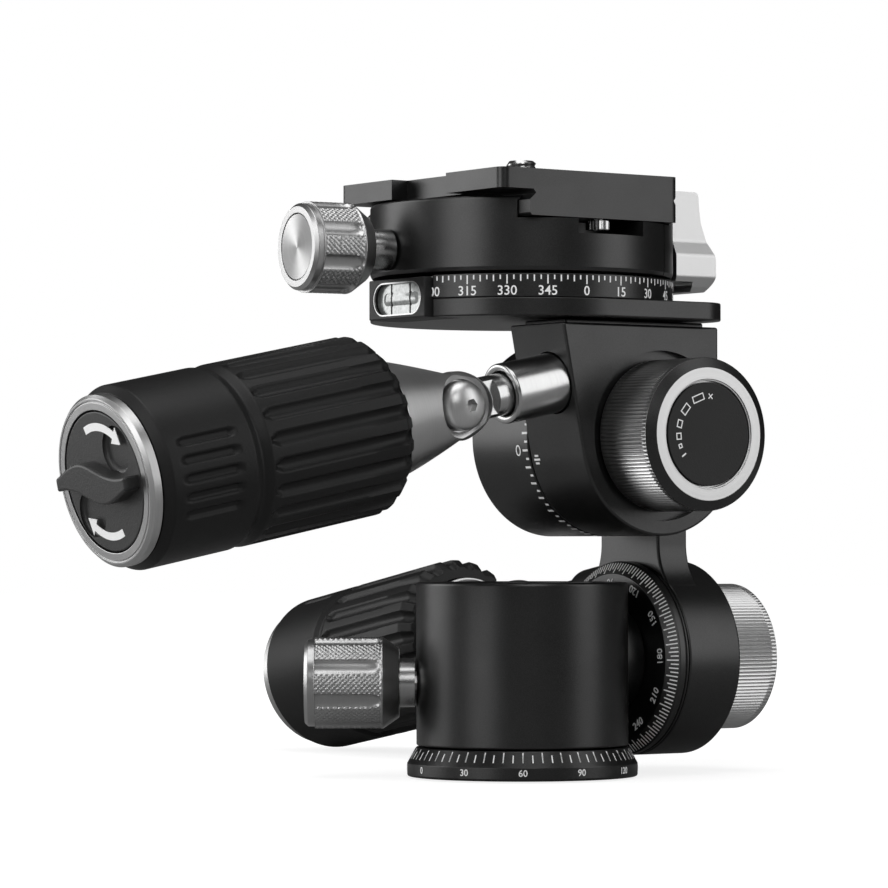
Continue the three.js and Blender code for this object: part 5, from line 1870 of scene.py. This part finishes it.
def area_light(name, place, width, height, power):
    """A softbox that faces the middle of the piece."""
    light = bpy.data.lights.new(name, "AREA")
    light.shape = "RECTANGLE"
    light.size = width
    light.size_y = height
    light.energy = power
    holder = bpy.data.objects.new(name, light)
    bpy.context.scene.collection.objects.link(holder)
    holder.location = place
    holder.rotation_euler = (Vector(STAGE_MIDDLE) - Vector(place)).to_track_quat("-Z", "Y").to_euler()


def make_world(ambient):
    world = bpy.data.worlds.new("Studio")
    world.use_nodes = True
    world.node_tree.nodes.clear()
    graph = Graph(world.node_tree)
    output = graph.node("ShaderNodeOutputWorld")
    path = graph.node("ShaderNodeLightPath")
    strength = ambient + graph.out(path, "Is Camera Ray") * (1.0 - ambient)
    back = graph.node("ShaderNodeBackground", Color=(1, 1, 1, 1), Strength=strength)
    world.node_tree.links.new(back.outputs[0], output.inputs[0])
    bpy.context.scene.world = world


def make_floor():
    look = Finish("Studio floor")
    grain = look.noise(40.0, 2.0)
    look.feed(
        Base_Color=look.graph.mix(grain, shade(0.3), shade(0.33)),
        Roughness=0.75 + grain * 0.1,
        Normal=look.bump(grain, 0.1, 0.2),
    )
    graph = look.graph
    path = graph.node("ShaderNodeLightPath")
    # Dimmer near the piece, so that its shadow shows, and white further off
    length = graph.node("ShaderNodeVectorMath", {"operation": "LENGTH"}, Vector=look.place)
    away = graph.out(length, "Value")
    reach = graph.node("ShaderNodeMapRange", Value=away, From_Min=GLOW_START, From_Max=GLOW_END)
    glow = graph.mix(graph.out(reach), shade(0.8), shade(1.0))
    look.feed(Emission_Color=graph.mix(graph.out(path, "Is Camera Ray"), shade(0.0), glow))
    look.constants(Emission_Strength=1.0)
    mesh = bpy.data.meshes.new("floor")
    sheet = bmesh.new()
    bmesh.ops.create_grid(sheet, x_segments=12, y_segments=12, size=FLOOR_HALF)
    sheet.to_mesh(mesh)
    sheet.free()
    mesh.materials.append(look.material)
    floor = bpy.data.objects.new("studio_floor", mesh)
    bpy.context.scene.collection.objects.link(floor)
    floor.location = (0.0, 0.0, -FLOOR_DROP)


class HEAD_OT_stage(bpy.types.Operator):
    """Set the camera, the lights, the world and the floor"""

    bl_idname = "head.stage"
    bl_label = "Stage"

    def execute(self, context):
        settings = context.scene.head_stage
        make_world(settings.ambient)
        make_floor()
        lens = bpy.data.cameras.new("Camera")
        lens.lens = settings.lens
        lens.sensor_width = 36
        lens.clip_start = 0.01
        lens.clip_end = 50
        camera = bpy.data.objects.new("Camera", lens)
        context.scene.collection.objects.link(camera)
        turn = Matrix.Rotation(-settings.yaw, 4, "Z") @ Matrix.Rotation(math.pi / 2 + settings.pitch, 4, "X")
        turn = turn @ Matrix.Rotation(-settings.roll, 4, "Z")
        camera.matrix_world = Matrix.Translation(settings.place) @ turn
        context.scene.camera = camera
        area_light("Left", (-1.0, -0.15, 0.45), 0.6, 1.1, settings.left)
        area_light("Right", (0.62, -0.8, 0.4), 0.55, 1.1, settings.right)
        area_light("Back", (-0.75, 0.9, 0.35), 0.8, 0.9, settings.back)
        area_light("Top", (-0.1, -0.1, 1.1), 0.9, 0.9, settings.top)
        area_light("Front", (-0.45, -0.95, 0.62), 0.5, 0.5, settings.front)
        context.scene.view_settings.view_transform = "Standard"
        return {"FINISHED"}


class HEAD_PT_panel(bpy.types.Panel):
    """Buttons and settings of the head's parts."""

    bl_label = "Pan and Tilt Head"
    bl_space_type = "VIEW_3D"
    bl_region_type = "UI"
    bl_category = "Head"

    def draw(self, context):
        column = self.layout.column()
        for operator in OPERATORS:
            column.operator(operator.bl_idname)
        for name, settings in SETTINGS.items():
            box = column.box()
            for key in settings.__annotations__:
                box.prop(getattr(context.scene, name), key)


OPERATORS = (
    HEAD_OT_base,
    HEAD_OT_scale_disc,
    HEAD_OT_locks,
    HEAD_OT_friction,
    HEAD_OT_arm,
    HEAD_OT_upper_housing,
    HEAD_OT_handles,
    HEAD_OT_pan_base,
    HEAD_OT_clamp,
    HEAD_OT_plate,
    HEAD_OT_inner,
    HEAD_OT_stage,
)
SETTINGS = {
    "head_base": BaseSettings,
    "head_knobs": KnobSettings,
    "head_handles": HandleSettings,
    "head_stage": StageSettings,
}


def register():
    for kind in (*SETTINGS.values(), *OPERATORS, HEAD_PT_panel):
        bpy.utils.register_class(kind)
    for name, settings in SETTINGS.items():
        setattr(bpy.types.Scene, name, PointerProperty(type=settings))


def unregister():
    for name in SETTINGS:
        delattr(bpy.types.Scene, name)
    for kind in reversed((*SETTINGS.values(), *OPERATORS, HEAD_PT_panel)):
        bpy.utils.unregister_class(kind)


def main():
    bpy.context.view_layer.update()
    register()
    make_materials()
    for operator in OPERATORS:
        group, name = operator.bl_idname.split(".")
        result = getattr(getattr(bpy.ops, group), name)()
        if result != {"FINISHED"}:
            raise RuntimeError(f"{operator.bl_idname} didn't finish")


if __name__ == "__main__":
    main()
